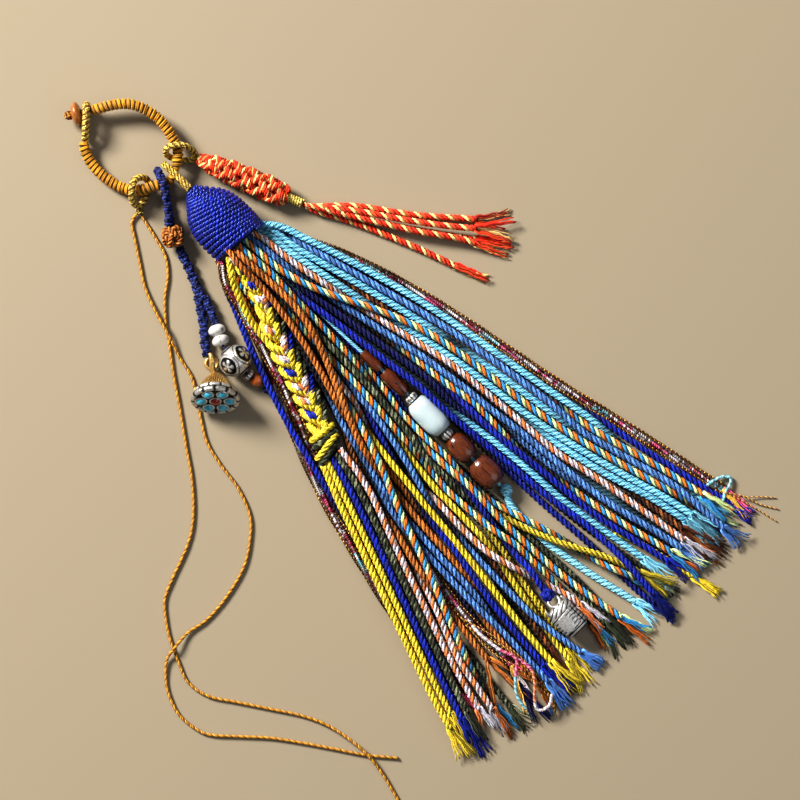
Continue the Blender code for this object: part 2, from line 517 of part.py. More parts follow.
def cord_solids(name, rows, distance, v, z, roots, tolerance):
    """The four-sided solids of some skirt cords, as one curve made a mesh.

    A root is the place below the mouth, across and up where a cord's solid
    starts, inside the piece that grips it.
    """
    curve = bpy.data.curves.new(name, "CURVE")
    curve.dimensions = "3D"
    curve.bevel_depth = SOLID_RADIUS * MM
    curve.bevel_resolution = 0
    curve.use_fill_caps = True
    curve.twist_mode = "Z_UP"
    for (_, length, _, _), across, height, root in zip(rows, v, z, roots):
        inner = (distance >= root[0] + ROOT_DEPTH - 0.1) & (distance < length - 3.0)
        d = np.concatenate(([root[0]], distance[inner], [length]))
        a = np.concatenate(([root[1]], across[inner], [np.interp(length, distance, across)]))
        h = np.concatenate(([root[2]], height[inner], [np.interp(length, distance, height)]))
        d[1] = max(d[1], root[0] + ROOT_DEPTH + 0.6)
        chosen = few_stations(d, a, h, tolerance)
        spline = curve.splines.new("POLY")
        spline.points.add(len(chosen) - 1)
        for k, point in zip(chosen, spline.points):
            freed = min(1.0, max(0.0, (d[k] - root[0] - ROOT_DEPTH) / FREED))
            place = below(d[k], a[k], h[k] - SOLID_LOWER * freed)
            point.co = (*[value * MM for value in place], 1.0)
            point.radius = (SQUEEZED_RADIUS + (CORD_RADIUS - SQUEEZED_RADIUS) * freed) / CORD_RADIUS
            point.tilt = math.radians(45.0)
    return as_mesh(add_object(name, curve, None))


# ---- the head and the skirt ------------------------------------------------
HEAD_SHAPE = ((0.0, 2.6), (1.6, 4.8), (4.0, 6.6), (8.0, 9.4), (12.0, 11.4), (16.0, 12.2), (21.0, 12.4),
              (25.0, 12.2), (29.6, 11.8))


def head_profile():
    """Radius and distance from the top: a crest and a groove for each turn."""
    shape = np.array(HEAD_SHAPE)
    length = shape[-1, 0]
    profile = [(0.0, length)]
    for k in range(2 * HEAD_TURNS + 1):
        place = length * (1.0 - k / (2 * HEAD_TURNS))
        radius = float(np.interp(place, shape[:, 0], shape[:, 1]))
        profile.append((radius - (WIND_DEPTH if k % 2 else 0.0), place))
    return profile + [(0.0, 0.0)]


def make_main_tassel(distance, v, z):
    head = turned("main_tassel", "skirt", head_profile(), 20, (0.0, HEAD_TOP_Y, HEAD_AXIS_Z), (0.0, -1.0, 0.0))
    head = as_mesh(head)
    mesh = bpy.data.meshes.new("floor")
    work = bmesh.new()
    bmesh.ops.create_cube(work, size=1.0)
    work.transform(Matrix.Translation((0.0, 0.0, -5.0 * MM)) @ Matrix.Diagonal((0.06, 0.08, 10.0 * MM, 1.0)))
    work.to_mesh(mesh)
    work.free()
    head = boolean(head, add_object("floor_cutter", mesh, None, CUTTERS), "DIFFERENCE")
    count = len(SKIRT)
    roots = [(-ROOT_DEPTH, across, height) for across, height in zip(v[:count, 0], z[:count, 0])]
    cords = cord_solids("skirt_cords", SKIRT, distance, v[:count], z[:count], roots, 0.6)
    head = boolean(head, cords, "UNION")
    shade(head)
    return head


def add_plait(name, material, table, pitch, sides=10, lean=0.32):
    """A plait: rings of points that lean back at the sides, each V swollen.

    The table's columns are X, Y, height, half width and half height.
    """
    table = np.array(table)
    along = np.concatenate(([0.0], np.cumsum(np.linalg.norm(np.diff(table[:, :3], axis=0), axis=1))))
    count = int(round(along[-1] / (pitch / 2)))
    mesh = bpy.data.meshes.new(name)
    work = bmesh.new()
    rings = []
    angles = [2 * math.pi * (k + 0.5) / sides for k in range(sides)]
    for row in range(count + 1):
        ends = row in (0, count)
        swell = PLAIT_VALLEY if row % 2 or ends else 1.0
        ring = []
        for angle in angles:
            side, up = math.cos(angle), math.sin(angle)
            back = 0.0 if ends else lean * pitch * (abs(side) - 0.5)
            place = min(along[-1], max(0.0, along[-1] * row / count - back))
            x, y, height, half, thick = [float(np.interp(place, along, table[:, c])) for c in range(5)]
            ahead = [float(np.interp(place + 1.0, along, table[:, c]) - np.interp(place - 1.0, along, table[:, c]))
                     for c in (0, 1)]
            scale = half * swell * side / math.hypot(*ahead)
            point = (x - ahead[1] * scale, y + ahead[0] * scale, height + thick * swell * up)
            ring.append(work.verts.new(Vector(point) * MM))
        rings.append(ring)
    for one, two in zip(rings, rings[1:]):
        for k in range(sides):
            work.faces.new((one[k], one[(k + 1) % sides], two[(k + 1) % sides], two[k]))
    work.faces.new(rings[0])
    work.faces.new(rings[-1])
    bmesh.ops.recalc_face_normals(work, faces=work.faces)
    work.to_mesh(mesh)
    work.free()
    return add_object(name, mesh, material)


def make_fishtail(distance, v, z):
    table = [(*below(*row[:3]), *row[3:]) for row in BRAID]
    braid = add_plait("fishtail_braid", "fishtail", table, BRAID_PITCH)
    tails = slice(len(SKIRT), None)
    _, middle, height, _, _ = BRAID[-2]
    roots = [(TAIL_ROOT, middle - 3.9 + 1.3 * k, height + (1.1 if k % 2 else -1.1))
             for k in (6, 4, 3, 2, 0, 5, 1)]
    cords = cord_solids("tail_cords", BRAID_TAILS, distance, v[tails], z[tails], roots, 0.3)
    braid = boolean(braid, cords, "UNION")
    shade(braid)
    return braid


# ---- the string of beads in the skirt --------------------------------------
def string_point(distance):
    string = np.array(STRING)
    return [float(np.interp(distance, string[:, 0], string[:, c])) for c in (1, 2)]


def make_string_beads():
    for name, start, end, radius, material in BEADS:
        first, last = below(start, *string_point(start)), below(end, *string_point(end))
        axis = Vector(last) - Vector(first)
        end_radius = max(BORE_RADIUS + 0.6, 0.62 * radius)
        profile = barrel(axis.length, radius, end_radius, BORE_RADIUS, 4)
        item = turned(name, material, profile, 12, first, axis, closed=True)
        shade(item)


def make_string():
    """The string, and the tail with the knot that stops the beads."""
    route = [below(*row) for row in STRING]
    add_tube("bead_string", "light cord", route, STRING_RADIUS, 6.0, 1)
    lowered = [below(far, across, max(height - SOLID_LOWER, 1.0)) for far, across, height in LIGHT_TAIL]
    curve = tube_curve(smooth_route(lowered, 9.0), SOLID_RADIUS, 0)
    curve.twist_mode = "Z_UP"
    for point in curve.splines[0].points:
        point.tilt = math.radians(45.0)
    tail = as_mesh(add_object("light_tail", curve, "light cord"))
    knot = ball("blue_knot", None, below(143.5, 5.0, 3.2), (2.9, 2.6, 2.7), 6, 10)
    shade(boolean(tail, as_mesh(knot), "UNION"), 40.0)


# ---- the hanging ring ------------------------------------------------------
# X, Y and height of the wrapped ring, from the button's neck round to the
# eyelet's foot.
RING = (
    (-4.6, 71.3, 5.4), (1.4, 67.9, 6.6), (4.7, 65.5, 7.0), (7.5, 62.7, 7.2), (9.6, 59.2, 7.3), (11.0, 54.9, 7.2),
    (11.7, 50.0, 7.0), (11.2, 44.9, 6.8), (10.0, 40.4, 6.5), (8.7, 36.6, 6.3), (5.5, 33.4, 6.2), (1.3, 31.0, 6.2),
    (-1.6, 29.6, 6.2), (-5.2, 30.2, 6.2), (-8.3, 32.4, 6.2), (-11.2, 33.9, 6.0), (-13.9, 35.8, 5.2), (-16.5, 38.3, 3.8),
    (-17.9, 41.0, 2.8), (-19.1, 44.0, 2.5), (-19.9, 48.3, 2.5), (-20.2, 52.5, 2.5), (-19.9, 56.8, 2.7), (-18.8, 60.7, 3.1),
    (-17.2, 63.6, 3.6),
)
THIN_FROM, THIN_TO = 0.475, 0.60      # the part of the ring that carries the loops
BUTTON = (-10.2, 75.0, 4.9)
BUTTON_RADIUS = 4.7
BUTTON_THICK = 4.4
NECK_RADIUS = 1.2


def ring_factors(part):
    """Ribs of the wrapping: every second point stands proud."""
    ribs = np.where(np.arange(len(part)) % 2 == 0, 1.0, 0.86)
    thin = np.where((part > THIN_FROM) & (part < THIN_TO), 0.80, 1.0)
    return ribs * thin


def make_ring():
    """Wrapped cord and the bare neck that carries the button."""
    ring = add_tube("ring_cord", "ring cord", RING, RING_RADIUS, 1.9, 2, ring_factors)
    ring = as_mesh(ring)
    neck_out = Vector(BUTTON) - Vector(RING[0])
    far = Vector(BUTTON) + neck_out.normalized() * (BUTTON_THICK / 2 + 0.4)
    near = Vector(RING[0]) - neck_out.normalized() * 2.0
    neck = add_object("neck", tube_curve([near, Vector(RING[0]), far], NECK_RADIUS, 1), None)
    ring = boolean(ring, as_mesh(neck), "UNION")
    shade(ring, 50.0)
    axis = neck_out.normalized()
    foot = Vector(BUTTON) - axis * BUTTON_THICK / 2
    profile = barrel(BUTTON_THICK, BUTTON_RADIUS, 2.6, NECK_RADIUS + GAP, 4)
    shade(turned("button_bead", "orange wood", profile, 16, foot, axis, closed=True))
    ball("button_knot", "gold cord", far + axis * (GAP + 1.6), (1.6, 1.6, 1.6), 6, 10)


# Closed or open loops of gold cord: X, Y and height.
EYELET = (
    (-4.7, 74.7, 5.2), (-5.9, 73.4, 8.2), (-8.3, 71.1, 8.5), (-11.3, 68.4, 7.6), (-13.7, 66.2, 5.6),
    (-14.7, 65.4, 3.8), (-13.5, 66.4, 2.0), (-11.3, 68.4, 1.7), (-8.3, 71.1, 1.7), (-5.9, 73.4, 2.2),
)
ORANGE_LOOP = (
    (11.8, 29.6, 4.6), (12.4, 31.8, 7.4), (11.6, 34.6, 10.3), (9.8, 37.2, 11.0), (7.0, 39.2, 10.2), (4.8, 39.2, 8.0),
    (3.8, 37.8, 5.2), (4.6, 35.2, 2.3), (6.8, 32.2, 1.8), (9.4, 29.6, 2.4),
)
HANGER_LOOP = (
    (0.9, 21.4, 13.4), (0.9, 24.6, 13.0), (0.8, 28.0, 11.4), (0.7, 31.4, 10.4), (0.5, 34.8, 9.2), (0.4, 36.2, 6.2),
    (0.4, 34.8, 2.8), (0.5, 31.6, 1.8), (0.5, 28.0, 2.6), (0.5, 25.6, 5.0), (0.5, 23.6, 8.4),
    (0.5, 22.6, 9.6), (0.5, 21.2, 9.9),
)
TIE_LOOP = (
    (-19.0, 32.0, 2.6), (-19.0, 34.0, 6.2), (-17.0, 36.6, 9.2), (-14.4, 38.6, 9.8), (-11.8, 39.6, 7.6), (-9.4, 38.4, 4.2),
    (-8.9, 36.2, 1.8), (-11.0, 34.0, 1.7), (-14.0, 32.4, 1.7), (-17.0, 31.4, 1.7),
)
NAVY_LOOP = (
    (-15.6, 17.4, 6.4), (-13.4, 19.6, 7.0), (-11.0, 22.2, 8.0), (-8.6, 25.4, 9.4), (-6.2, 28.4, 10.4), (-4.8, 31.6, 10.4),
    (-3.6, 34.8, 8.4), (-3.4, 35.7, 5.2), (-4.2, 33.4, 2.2), (-6.0, 29.8, 1.9), (-8.8, 25.8, 2.0), (-11.4, 21.8, 2.2),
    (-13.8, 18.6, 2.6), (-14.9, 17.0, 3.0),
)


def make_loops():
    add_tube("ring_eyelet", "gold cord", EYELET, LOOP_RADIUS, 2.4, 1, cyclic=True)
    add_tube("orange_loop", "gold cord", ORANGE_LOOP, LOOP_RADIUS, 2.4, 1, cyclic=True)
    add_tube("hanger_loop", "gold cord", HANGER_LOOP, 1.4, 2.4, 1)
    add_tube("tie_loop", "gold cord", TIE_LOOP, LOOP_RADIUS, 2.4, 1, cyclic=True)
    add_tube("navy_braid_upper", "navy cord", NAVY_LOOP, 1.8, 2.6, 1)


# ---- the ties --------------------------------------------------------------
TIE_A = (
    (-21.3, 30.0, 1.2), (-23.6, 29.6, 0.9), (-25.9, 28.2, 0.75), (-29.0, 23.4, 0.75), (-34.4, 15.2, 0.75),
    (-39.7, 7.0, 0.9), (-44.0, -4.1, 1.7), (-46.2, -12.0, 2.6), (-49.9, -23.0, 0.9), (-52.4, -32.6, 0.75),
    (-60.6, -45.2, 0.75), (-66.0, -54.4, 0.75), (-68.6, -64.6, 0.75), (-70.4, -76.7, 0.75), (-74.8, -87.5, 0.75),
    (-81.6, -94.3, 0.75), (-90.9, -100.2, 0.75), (-103.4, -103.6, 0.75), (-115.8, -104.7, 0.75),
    (-125.4, -103.0, 1.2), (-133.5, -103.5, 2.5), (-139.0, -104.7, 1.4), (-144.4, -109.5, 0.75),
    (-148.1, -114.9, 0.75), (-151.0, -123.3, 0.75), (-150.3, -132.5, 0.75), (-147.5, -138.7, 0.75),
    (-140.0, -147.0, 0.75), (-131.7, -156.2, 0.75), (-124.0, -166.7, 0.75), (-116.7, -177.4, 0.75),
    (-109.6, -187.9, 0.75), (-101.4, -197.8, 0.75),
)
TIE_B = (
    (-20.5, 28.0, 1.0), (-21.1, 25.9, 0.75), (-21.9, 22.0, 0.75), (-22.8, 18.3, 0.75), (-25.0, 10.4, 0.75),
    (-29.8, 3.9, 0.75), (-37.5, -2.1, 0.75), (-44.8, -10.0, 0.75), (-48.5, -15.4, 0.75), (-55.6, -24.8, 0.75),
    (-64.3, -37.4, 0.75), (-72.8, -49.3, 0.75), (-81.0, -60.9, 0.75), (-90.8, -71.5, 0.75), (-100.3, -77.9, 0.75),
    (-114.6, -83.4, 0.75), (-122.3, -86.9, 0.75), (-127.7, -92.9, 0.75), (-132.1, -99.5, 0.75),
    (-136.3, -108.6, 0.75), (-139.3, -116.9, 0.75), (-137.6, -126.5, 0.75), (-131.4, -136.1, 0.75),
    (-123.5, -148.0, 0.75), (-116.4, -159.0, 0.75), (-112.1, -168.4, 1.2), (-109.9, -177.6, 2.2),
    (-109.0, -187.3, 2.5), (-110.2, -197.5, 1.2), (-112.4, -206.6, 0.75), (-115.5, -218.0, 0.75),
    (-118.5, -228.5, 0.75),
)


def make_ties():
    add_tube("tie_cord_a", "gold cord", TIE_A, TIE_RADIUS, 7.0, 1)
    add_tube("tie_cord_b", "gold cord", TIE_B, TIE_RADIUS, 7.0, 1)
    ball("tie_knot", "gold cord", (-19.9, 29.3, 1.5), (1.0, 1.0, 1.0), 6, 8)


# ---- the navy braid, its beads and the pod charm ---------------------------
KNOT_BEAD = (-17.6, 13.2, 4.9)
NAVY_STEM = (
    (-19.0, 8.0, 3.4), (-20.5, 4.2, 2.4), (-21.9, -0.1, 2.1), (-23.6, -4.1, 2.0), (-25.3, -8.0, 2.0),
    (-28.1, -12.0, 1.9), (-30.4, -15.4, 1.9), (-32.7, -18.8, 1.9), (-36.0, -23.0, 1.9), (-38.8, -26.2, 2.0),
    (-41.4, -30.1, 2.0),
)
NAVY_BRANCH = ((-24.2, -6.0, 2.0), (-25.6, -10.0, 2.2), (-26.2, -14.0, 2.4), (-27.4, -17.6, 2.6), (-29.0, -21.0, 2.8),
               (-30.2, -23.6, 3.0))
BEAD_LINE = (
    (-30.4, -23.9, 3.0), (-31.6, -25.7, 3.15), (-33.5, -29.7, 3.5), (-34.1, -31.5, 3.9), (-34.5, -33.3, 6.2),
    (-34.6, -34.4, 6.5), (-34.9, -39.6, 6.5), (-35.2, -45.0, 6.5), (-35.35, -47.2, 5.9), (-34.3, -50.9, 3.9),
    (-33.6, -53.4, 2.7), (-33.4, -54.2, 2.4),
)
LINE_RADIUS = 0.5
LINE_BORE = 1.05
# Name, middle, length, radius, axis, material and radius at the ends.
HANGING_BEADS = (
    ("white_bead_1", (-31.6, -25.7, 3.2), 2.9, 3.0, (-0.46, -0.88, 0.08), "white bead", 1.9),
    ("white_bead_2", (-33.5, -29.7, 3.5), 2.9, 3.0, (-0.38, -0.90, 0.18), "white bead", 1.9),
    ("silver_bead", (-34.9, -39.6, 6.5), 11.2, 6.3, (-0.06, -1.0, 0.0), "silver", 2.2),
    ("silver_cap", (-35.3, -47.3, 5.9), 1.8, 2.6, (0.05, -0.94, -0.34), "silver", 2.0),
    ("orange_bead", (-34.3, -50.9, 3.9), 4.2, 2.7, (0.25, -0.87, -0.42), "orange bead", 1.9),
)
# The pod charm: the middle of its face, the way the face looks, the radius and
# the distance behind the face of the silver rim and of the gilt skirt, and the
# places of its stones on the face.
POD_MIDDLE = (-51.1, -44.7, 8.9)
POD_FACE = (-0.572, -0.572, 0.588)
POD_RIM = ((0.0, 0.0), (8.8, 0.0), (9.8, 0.5), (10.2, 0.0), (9.6, -1.4), (8.0, -2.8), (6.4, -3.8), (0.0, -3.8))
POD_SKIRT = ((0.0, -4.1), (6.0, -4.1), (5.8, -6.4), (4.4, -8.4), (2.2, -9.6), (1.2, -10.6), (1.2, -12.8), (0.0, -12.8))
STONE_RADIUS = 2.3
STONE_RING = 5.7          # from the red stone's middle to a turquoise one's
BAIL = (-42.4, -33.6, 1.2)
BAIL_RADIUS = 2.4
BAIL_WIRE = 0.7


def make_navy():
    stem = add_tube("navy_braid_lower", "navy cord", NAVY_STEM, 1.8, 2.8, 2)
    stem = as_mesh(stem)
    branch = smooth_route(NAVY_BRANCH, 2.8)
    side = as_mesh(add_object("branch", tube_curve(branch, 1.6, 2), None))
    stem = boolean(stem, side, "UNION")
    shade(stem, 50.0)
    ball("knot_bead", "knot cord", KNOT_BEAD, (4.6, 4.2, 4.6), 8, 12, math.radians(45))
    add_tube("hanging_string", "navy cord", BEAD_LINE, LINE_RADIUS, 3.0, 1)
    for name, middle, length, radius, axis, material, end in HANGING_BEADS:
        direction = Vector(axis).normalized()
        foot = Vector(middle) - direction * length / 2
        shade(turned(name, material, barrel(length, radius, end, LINE_BORE, 4), 12, foot, direction, closed=True))
    ball("end_knot", "navy cord", (-34.2, -56.5, 2.2), (1.9, 2.1, 2.0), 6, 10)


# ---- the orange tassel -------------------------------------------------------
# The plait's rows are like BRAID's, but measured from the plait's own top along
# ORANGE_AXIS; its fringe is given in X, Y and height.
ORANGE_PLAIT = (
    (11.8, 27.6, 4.4, 2.4, 2.4), (13.6, 22.8, 4.8, 3.8, 3.6), (16.0, 17.0, 4.9, 4.6, 4.3), (19.0, 9.6, 4.9, 5.0, 4.5),
    (22.0, 2.0, 4.9, 5.2, 4.5), (24.4, -4.2, 4.8, 5.0, 4.3), (25.95, -7.75, 4.6, 3.6, 3.4),
)
ORANGE_PITCH = 6.4
WRAP = ((26.05, -8.1, 4.5), (28.3, -14.0, 3.6))
WRAP_RADIUS = 1.9
ORANGE_FRINGE = (
    ((30.6, -18.0, 4.9), (41.0, -31.0, 4.9), (54.0, -49.6, 4.9), (67.5, -67.0, 4.9), (81.5, -82.0, 4.9)),
    ((30.6, -18.0, 3.0), (38.8, -31.8, 1.6), (51.0, -50.6, 1.6), (63.4, -68.0, 1.6), (76.6, -86.4, 1.6)),
    ((30.6, -18.0, 3.0), (42.8, -30.0, 1.6), (56.4, -48.4, 1.6), (70.8, -65.0, 1.6), (84.0, -80.0, 1.6)),
    ((30.6, -18.0, 4.9), (39.6, -33.0, 4.6), (52.0, -53.0, 4.4), (64.6, -71.4, 3.4), (72.6, -89.2, 1.6)),
    ((29.6, -19.0, 2.4), (36.6, -32.0, 1.6), (45.0, -51.0, 1.6), (51.4, -67.6, 1.6), (59.0, -90.4, 1.6)),
)


def make_orange_tassel():
    """Plait, gold wrap and the fringe, whose roots are one small cone."""
    plait = add_plait("orange_braid", "orange cord", ORANGE_PLAIT, ORANGE_PITCH)
    shade(plait)
    first, last = Vector(WRAP[0]), Vector(WRAP[1])
    axis = last - first
    profile = [(0.0, axis.length)]
    turns = 5
    for k in range(2 * turns + 1):
        profile.append((WRAP_RADIUS - (0.15 if k % 2 else 0.0), axis.length * (1.0 - k / (2 * turns))))
    shade(turned("gold_wrap", "gold cord", profile + [(0.0, 0.0)], 12, first, axis))
    start = last + axis.normalized() * 1.5 * GAP
    reach = Vector((30.9, -18.9, 3.9)) - start
    cone = [(0.0, reach.length), (2.9, reach.length), (2.6, reach.length * 0.6), (1.2, 0.0), (0.0, 0.0)]
    root = as_mesh(turned("orange_fringe", "orange cord", cone, 12, start, reach))
    for row in ORANGE_FRINGE:
        cord = add_object("fringe", tube_curve(smooth_route(row, 9.0), SOLID_RADIUS, 0), None)
        root = boolean(root, as_mesh(cord), "UNION")
    shade(root)


def wire_ring(name, material, middle, radius, wire, flat_way):
    """A small closed ring of wire; flat_way is the way its hole looks."""
    turn = Vector((0.0, 0.0, 1.0)).rotation_difference(Vector(flat_way).normalized())
    points = []
    for k in range(14):
        angle = 2 * math.pi * k / 14
        points.append(Vector(middle) + turn @ Vector((radius * math.cos(angle), radius * math.sin(angle), 0.0)))
    add_object(name, tube_curve(points, wire, 1, cyclic=True), material)


def make_pod():
    """Petalled pod of silver with a gilt skirt, its stones and its ring."""
    face = Vector(POD_FACE).normalized()
    middle = Vector(POD_MIDDLE)
    shade(turned("lotus_pod", "silver", POD_RIM, 24, middle, face), 40.0)
    shade(turned("pod_skirt", "gilt", POD_SKIRT, 16, middle, face), 40.0)
    wire_ring("pod_bail", "gilt", BAIL, BAIL_RADIUS, BAIL_WIRE, (0.1, 0.05, 1.0))
    turn = Vector((0.0, 0.0, 1.0)).rotation_difference(face)
    dome = ((0.0, 1.5), (1.3, 1.2), (2.1, 0.5), (STONE_RADIUS, 0.0), (0.0, 0.0))
    for number in range(7):
        angle = math.radians(60.0 * number)
        reach = STONE_RING if number else 0.0
        place = middle + turn @ Vector((reach * math.cos(angle), reach * math.sin(angle), GAP))
        name, material = (f"turquoise_{number}", "turquoise") if number else ("red_stone", "red stone")
        shade(turned(name, material, dome, 10, place, face), 70.0)


def make_charm():
    """The plain silver charm, its ring and the knot of its cord."""
    body = ball("silver_charm", "silver", below(*CHARM_AT), CHARM_SIZE, 8, 14)
    shade(body, 60.0)
    wire_ring("charm_bail", "silver", below(189.0, -13.3, 6.2), 1.9, 0.6, (0.1, 0.25, 1.0))


def main():
    distance, v, z = settle()
    make_main_tassel(distance, v, z)
    make_fishtail(distance, v, z)
    make_string_beads()
    make_string()
    make_orange_tassel()
    make_ring()
    make_loops()
    make_ties()
    make_navy()
    make_pod()
    make_charm()


clear_scene()
PARTS = make_collection("Cord tassel")
CUTTERS = make_collection("Cutters")
main()
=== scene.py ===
# %% [markdown]
# # A cord tassel, laid out on a table
# The real thing is a fat bundle of twisted cotton cords that hangs from a wound
# head, with a wrapped ring, thin ties, a beaded braid and a small orange tassel.
# Its solids already lie in place.  This file puts the yarn on them: every cord is
# made of plies that turn round each other, because the twist is what the eye
# reads as rope, and no bump map gives that outline.

# %% Libraries, the frame and its box
import math

import bpy
import numpy as np
from mathutils import Matrix


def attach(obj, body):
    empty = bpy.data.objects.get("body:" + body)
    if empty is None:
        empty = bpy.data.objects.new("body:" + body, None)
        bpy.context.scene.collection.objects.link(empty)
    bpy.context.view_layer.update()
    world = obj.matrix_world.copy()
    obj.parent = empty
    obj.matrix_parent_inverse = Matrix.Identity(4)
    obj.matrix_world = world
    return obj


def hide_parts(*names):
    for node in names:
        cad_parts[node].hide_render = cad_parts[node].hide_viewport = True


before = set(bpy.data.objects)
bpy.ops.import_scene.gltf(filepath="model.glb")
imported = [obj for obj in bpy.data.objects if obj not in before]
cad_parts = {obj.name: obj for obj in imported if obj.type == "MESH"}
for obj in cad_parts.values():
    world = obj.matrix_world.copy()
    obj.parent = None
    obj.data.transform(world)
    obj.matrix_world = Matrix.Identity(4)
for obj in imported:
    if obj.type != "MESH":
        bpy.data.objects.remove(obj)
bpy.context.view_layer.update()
MM = 0.001
FULL_TURN = 2 * math.pi


# %% [markdown]
# ## The table, the light and the camera
# A cord picture lives on soft light from one side: the shadows between the cords
# stay dark and every ply gets a lit flank.  One large lamp stands beyond the head,
# a weak one fills in from the other side.  The camera looks straight down through
# a long lens, turned so that the tassel runs from the top left to the bottom right.

# %% Floor, lamps and camera
RIGHT, UPWARD = (0.70711, -0.70711, 0.0), (0.70711, 0.70711, 0.0)  # of the picture
CAMERA_AT = (0.42 * MM, -97.1 * MM, 2.0)
VIEW_WIDTH = 0.320  # metres of the table across the picture
LAMP_TARGET = (0.0, -0.09, 0.0)
FLOOR_HALF = 3.0


def link(item):
    """Put an object into the scene."""
    bpy.context.scene.collection.objects.link(item)
    return item


def add_lamp(name, place, size, power, colour):
    """A square area lamp whose -Z axis points at the target."""
    lamp = bpy.data.lights.new(name, "AREA")
    lamp.shape, lamp.size, lamp.energy, lamp.color = "SQUARE", size, power, colour
    item = link(bpy.data.objects.new(name, lamp))
    way = np.array(place) - np.array(LAMP_TARGET)
    side = np.cross((0, 0, 1), way) + (1e-6, 0.0, 0.0)
    z = way / np.linalg.norm(way)
    x = side / np.linalg.norm(side)
    turn = np.column_stack((x, np.cross(z, x), z))
    item.matrix_world = Matrix.Translation(place) @ Matrix(turn.tolist()).to_4x4()


def add_camera():
    """Columns of the camera's matrix: picture right, picture up, away from the view."""
    camera = bpy.data.cameras.new("camera")
    camera.lens = camera.sensor_width * CAMERA_AT[2] / VIEW_WIDTH
    item = link(bpy.data.objects.new("camera", camera))
    turn = Matrix((RIGHT, UPWARD, (0, 0, 1))).transposed()
    item.matrix_world = Matrix.Translation(CAMERA_AT) @ turn.to_4x4()
    bpy.context.scene.camera = item


def add_floor():
    """One large square of a pale, dull table."""
    mesh = bpy.data.meshes.new("floor")
    corners = [(x * FLOOR_HALF, y * FLOOR_HALF, 0) for x, y in ((-1, -1), (1, -1), (1, 1), (-1, 1))]
    mesh.from_pydata(corners, [], [(0, 1, 2, 3)])
    floor = link(bpy.data.objects.new("floor", mesh))
    paint = bpy.data.materials.new("pale table")
    paint.use_nodes = True
    shader = paint.node_tree.nodes["Principled BSDF"]
    shader.inputs["Base Color"].default_value = (0.30, 0.245, 0.166, 1.0)
    shader.inputs["Roughness"].default_value = 0.75
    mesh.materials.append(paint)


add_camera()
add_floor()
add_lamp("window", (-0.19, 1.68, 1.15), 0.58, 108.0, (1.0, 0.97, 0.93))
add_lamp("fill", (0.5, -1.0, 1.2), 1.2, 4.0, (0.90, 0.94, 1.0))
world = bpy.data.worlds.new("room")
world.use_nodes = True
world.node_tree.nodes["Background"].inputs["Color"].default_value = (0.93, 0.95, 1.0, 1.0)
world.node_tree.nodes["Background"].inputs["Strength"].default_value = 0.19
bpy.context.scene.world = world
bpy.context.scene.view_settings.view_transform = "Standard"
bpy.context.scene.view_settings.look = "Medium High Contrast"
print("camera, floor and lamps are in place")

# %% [markdown]
# ## Surfaces from arrays
# A cord is a path with a circle carried along it.  The path is an array of points,
# the circle needs two directions across the path at every point, and the whole
# tube is then one array sum.  Blender could bevel a curve instead, but then the
# plies could not carry their own colours and lengths in the mesh.

# %% Paths and the directions across them
def unit(vectors):
    """Each vector divided by its length."""
    vectors = np.asarray(vectors, float)
    return vectors / np.maximum(np.linalg.norm(vectors, axis=-1, keepdims=True), 1e-9)


def lengths_along(path):
    """Running length of a path: the sum of its steps up to each point."""
    return np.concatenate(([0.0], np.cumsum(np.linalg.norm(np.diff(path, axis=0), axis=1))))


def catmull_rom(a, b, c, d, t):
    """The curve from b to c, for t from 0 to 1, that runs on smoothly to a and to d."""
    return 0.5 * (2 * b + (c - a) * t + (2 * a - 5 * b + 4 * c - d) * t**2 + (3 * b - a - 3 * c + d) * t**3)


def smooth_route(points, spacing):
    """Even samples of the Catmull-Rom curve through the points."""
    points = np.asarray(points, float)
    padded = np.vstack((2 * points[0] - points[1], points, 2 * points[-1] - points[-2]))
    t = np.linspace(0.0, 1.0, 17)[:-1, None, None]
    bends = catmull_rom(padded[:-3], padded[1:-2], padded[2:-1], padded[3:], t)
    curve = np.vstack((bends.transpose(1, 0, 2).reshape(-1, points.shape[1]), points[-1:]))
    along = lengths_along(curve[:, :3])
    wanted = np.linspace(0.0, along[-1], max(3, int(round(along[-1] / spacing)) + 1))
    return np.column_stack([np.interp(wanted, along, column) for column in curve.T])


def across(path, up=(0, 0, 1), cyclic=False):
    """Side and normal of a path: side = up x tangent, normal = tangent x side."""
    if cyclic:
        tangent = unit(np.roll(path, -1, axis=0) - np.roll(path, 1, axis=0))
    else:
        tangent = unit(np.gradient(path, axis=0))
    side = unit(np.cross(np.broadcast_to(up, path.shape), tangent))
    return side, np.cross(tangent, side)


def round_points(angle, one, other):
    """cos a * one + sin a * other, a row for each angle."""
    return np.cos(angle)[:, None] * one + np.sin(angle)[:, None] * other


def turns(count, whole=FULL_TURN):
    """Evenly spread angles; the last one stops a step before the whole."""
    return whole * np.arange(count) / count


def flat_way(points):
    """The direction in which a loop is flattest: the last singular vector."""
    points = np.asarray(points, float)
    return np.linalg.svd(points - points.mean(axis=0))[2][2]


def tube(path, radius, sides=6, up=(0, 0, 1), cyclic=False):
    """Grid of points  path + radius (cos a * side + sin a * normal)."""
    side, normal = across(path, up, cyclic)
    angle = turns(sides)
    radius = np.broadcast_to(radius, (len(path),))[:, None, None]
    ring = np.cos(angle)[None, :, None] * side[:, None] + np.sin(angle)[None, :, None] * normal[:, None]
    return path[:, None] + radius * ring


print("a test tube has", tube(smooth_route([(0, 0, 0), (5, 0, 0), (9, 2, 0)], 1.0), 1.0).shape, "points")

# %% [markdown]
# ## One mesh from many grids
# Every piece here is a list of grids.  Rows run along, columns run round and
# close on themselves; the ends are closed by a fan round a middle point, or the
# last row is joined to the first.  If the volume of a grid comes out negative its
# faces look inward, so they are turned round.

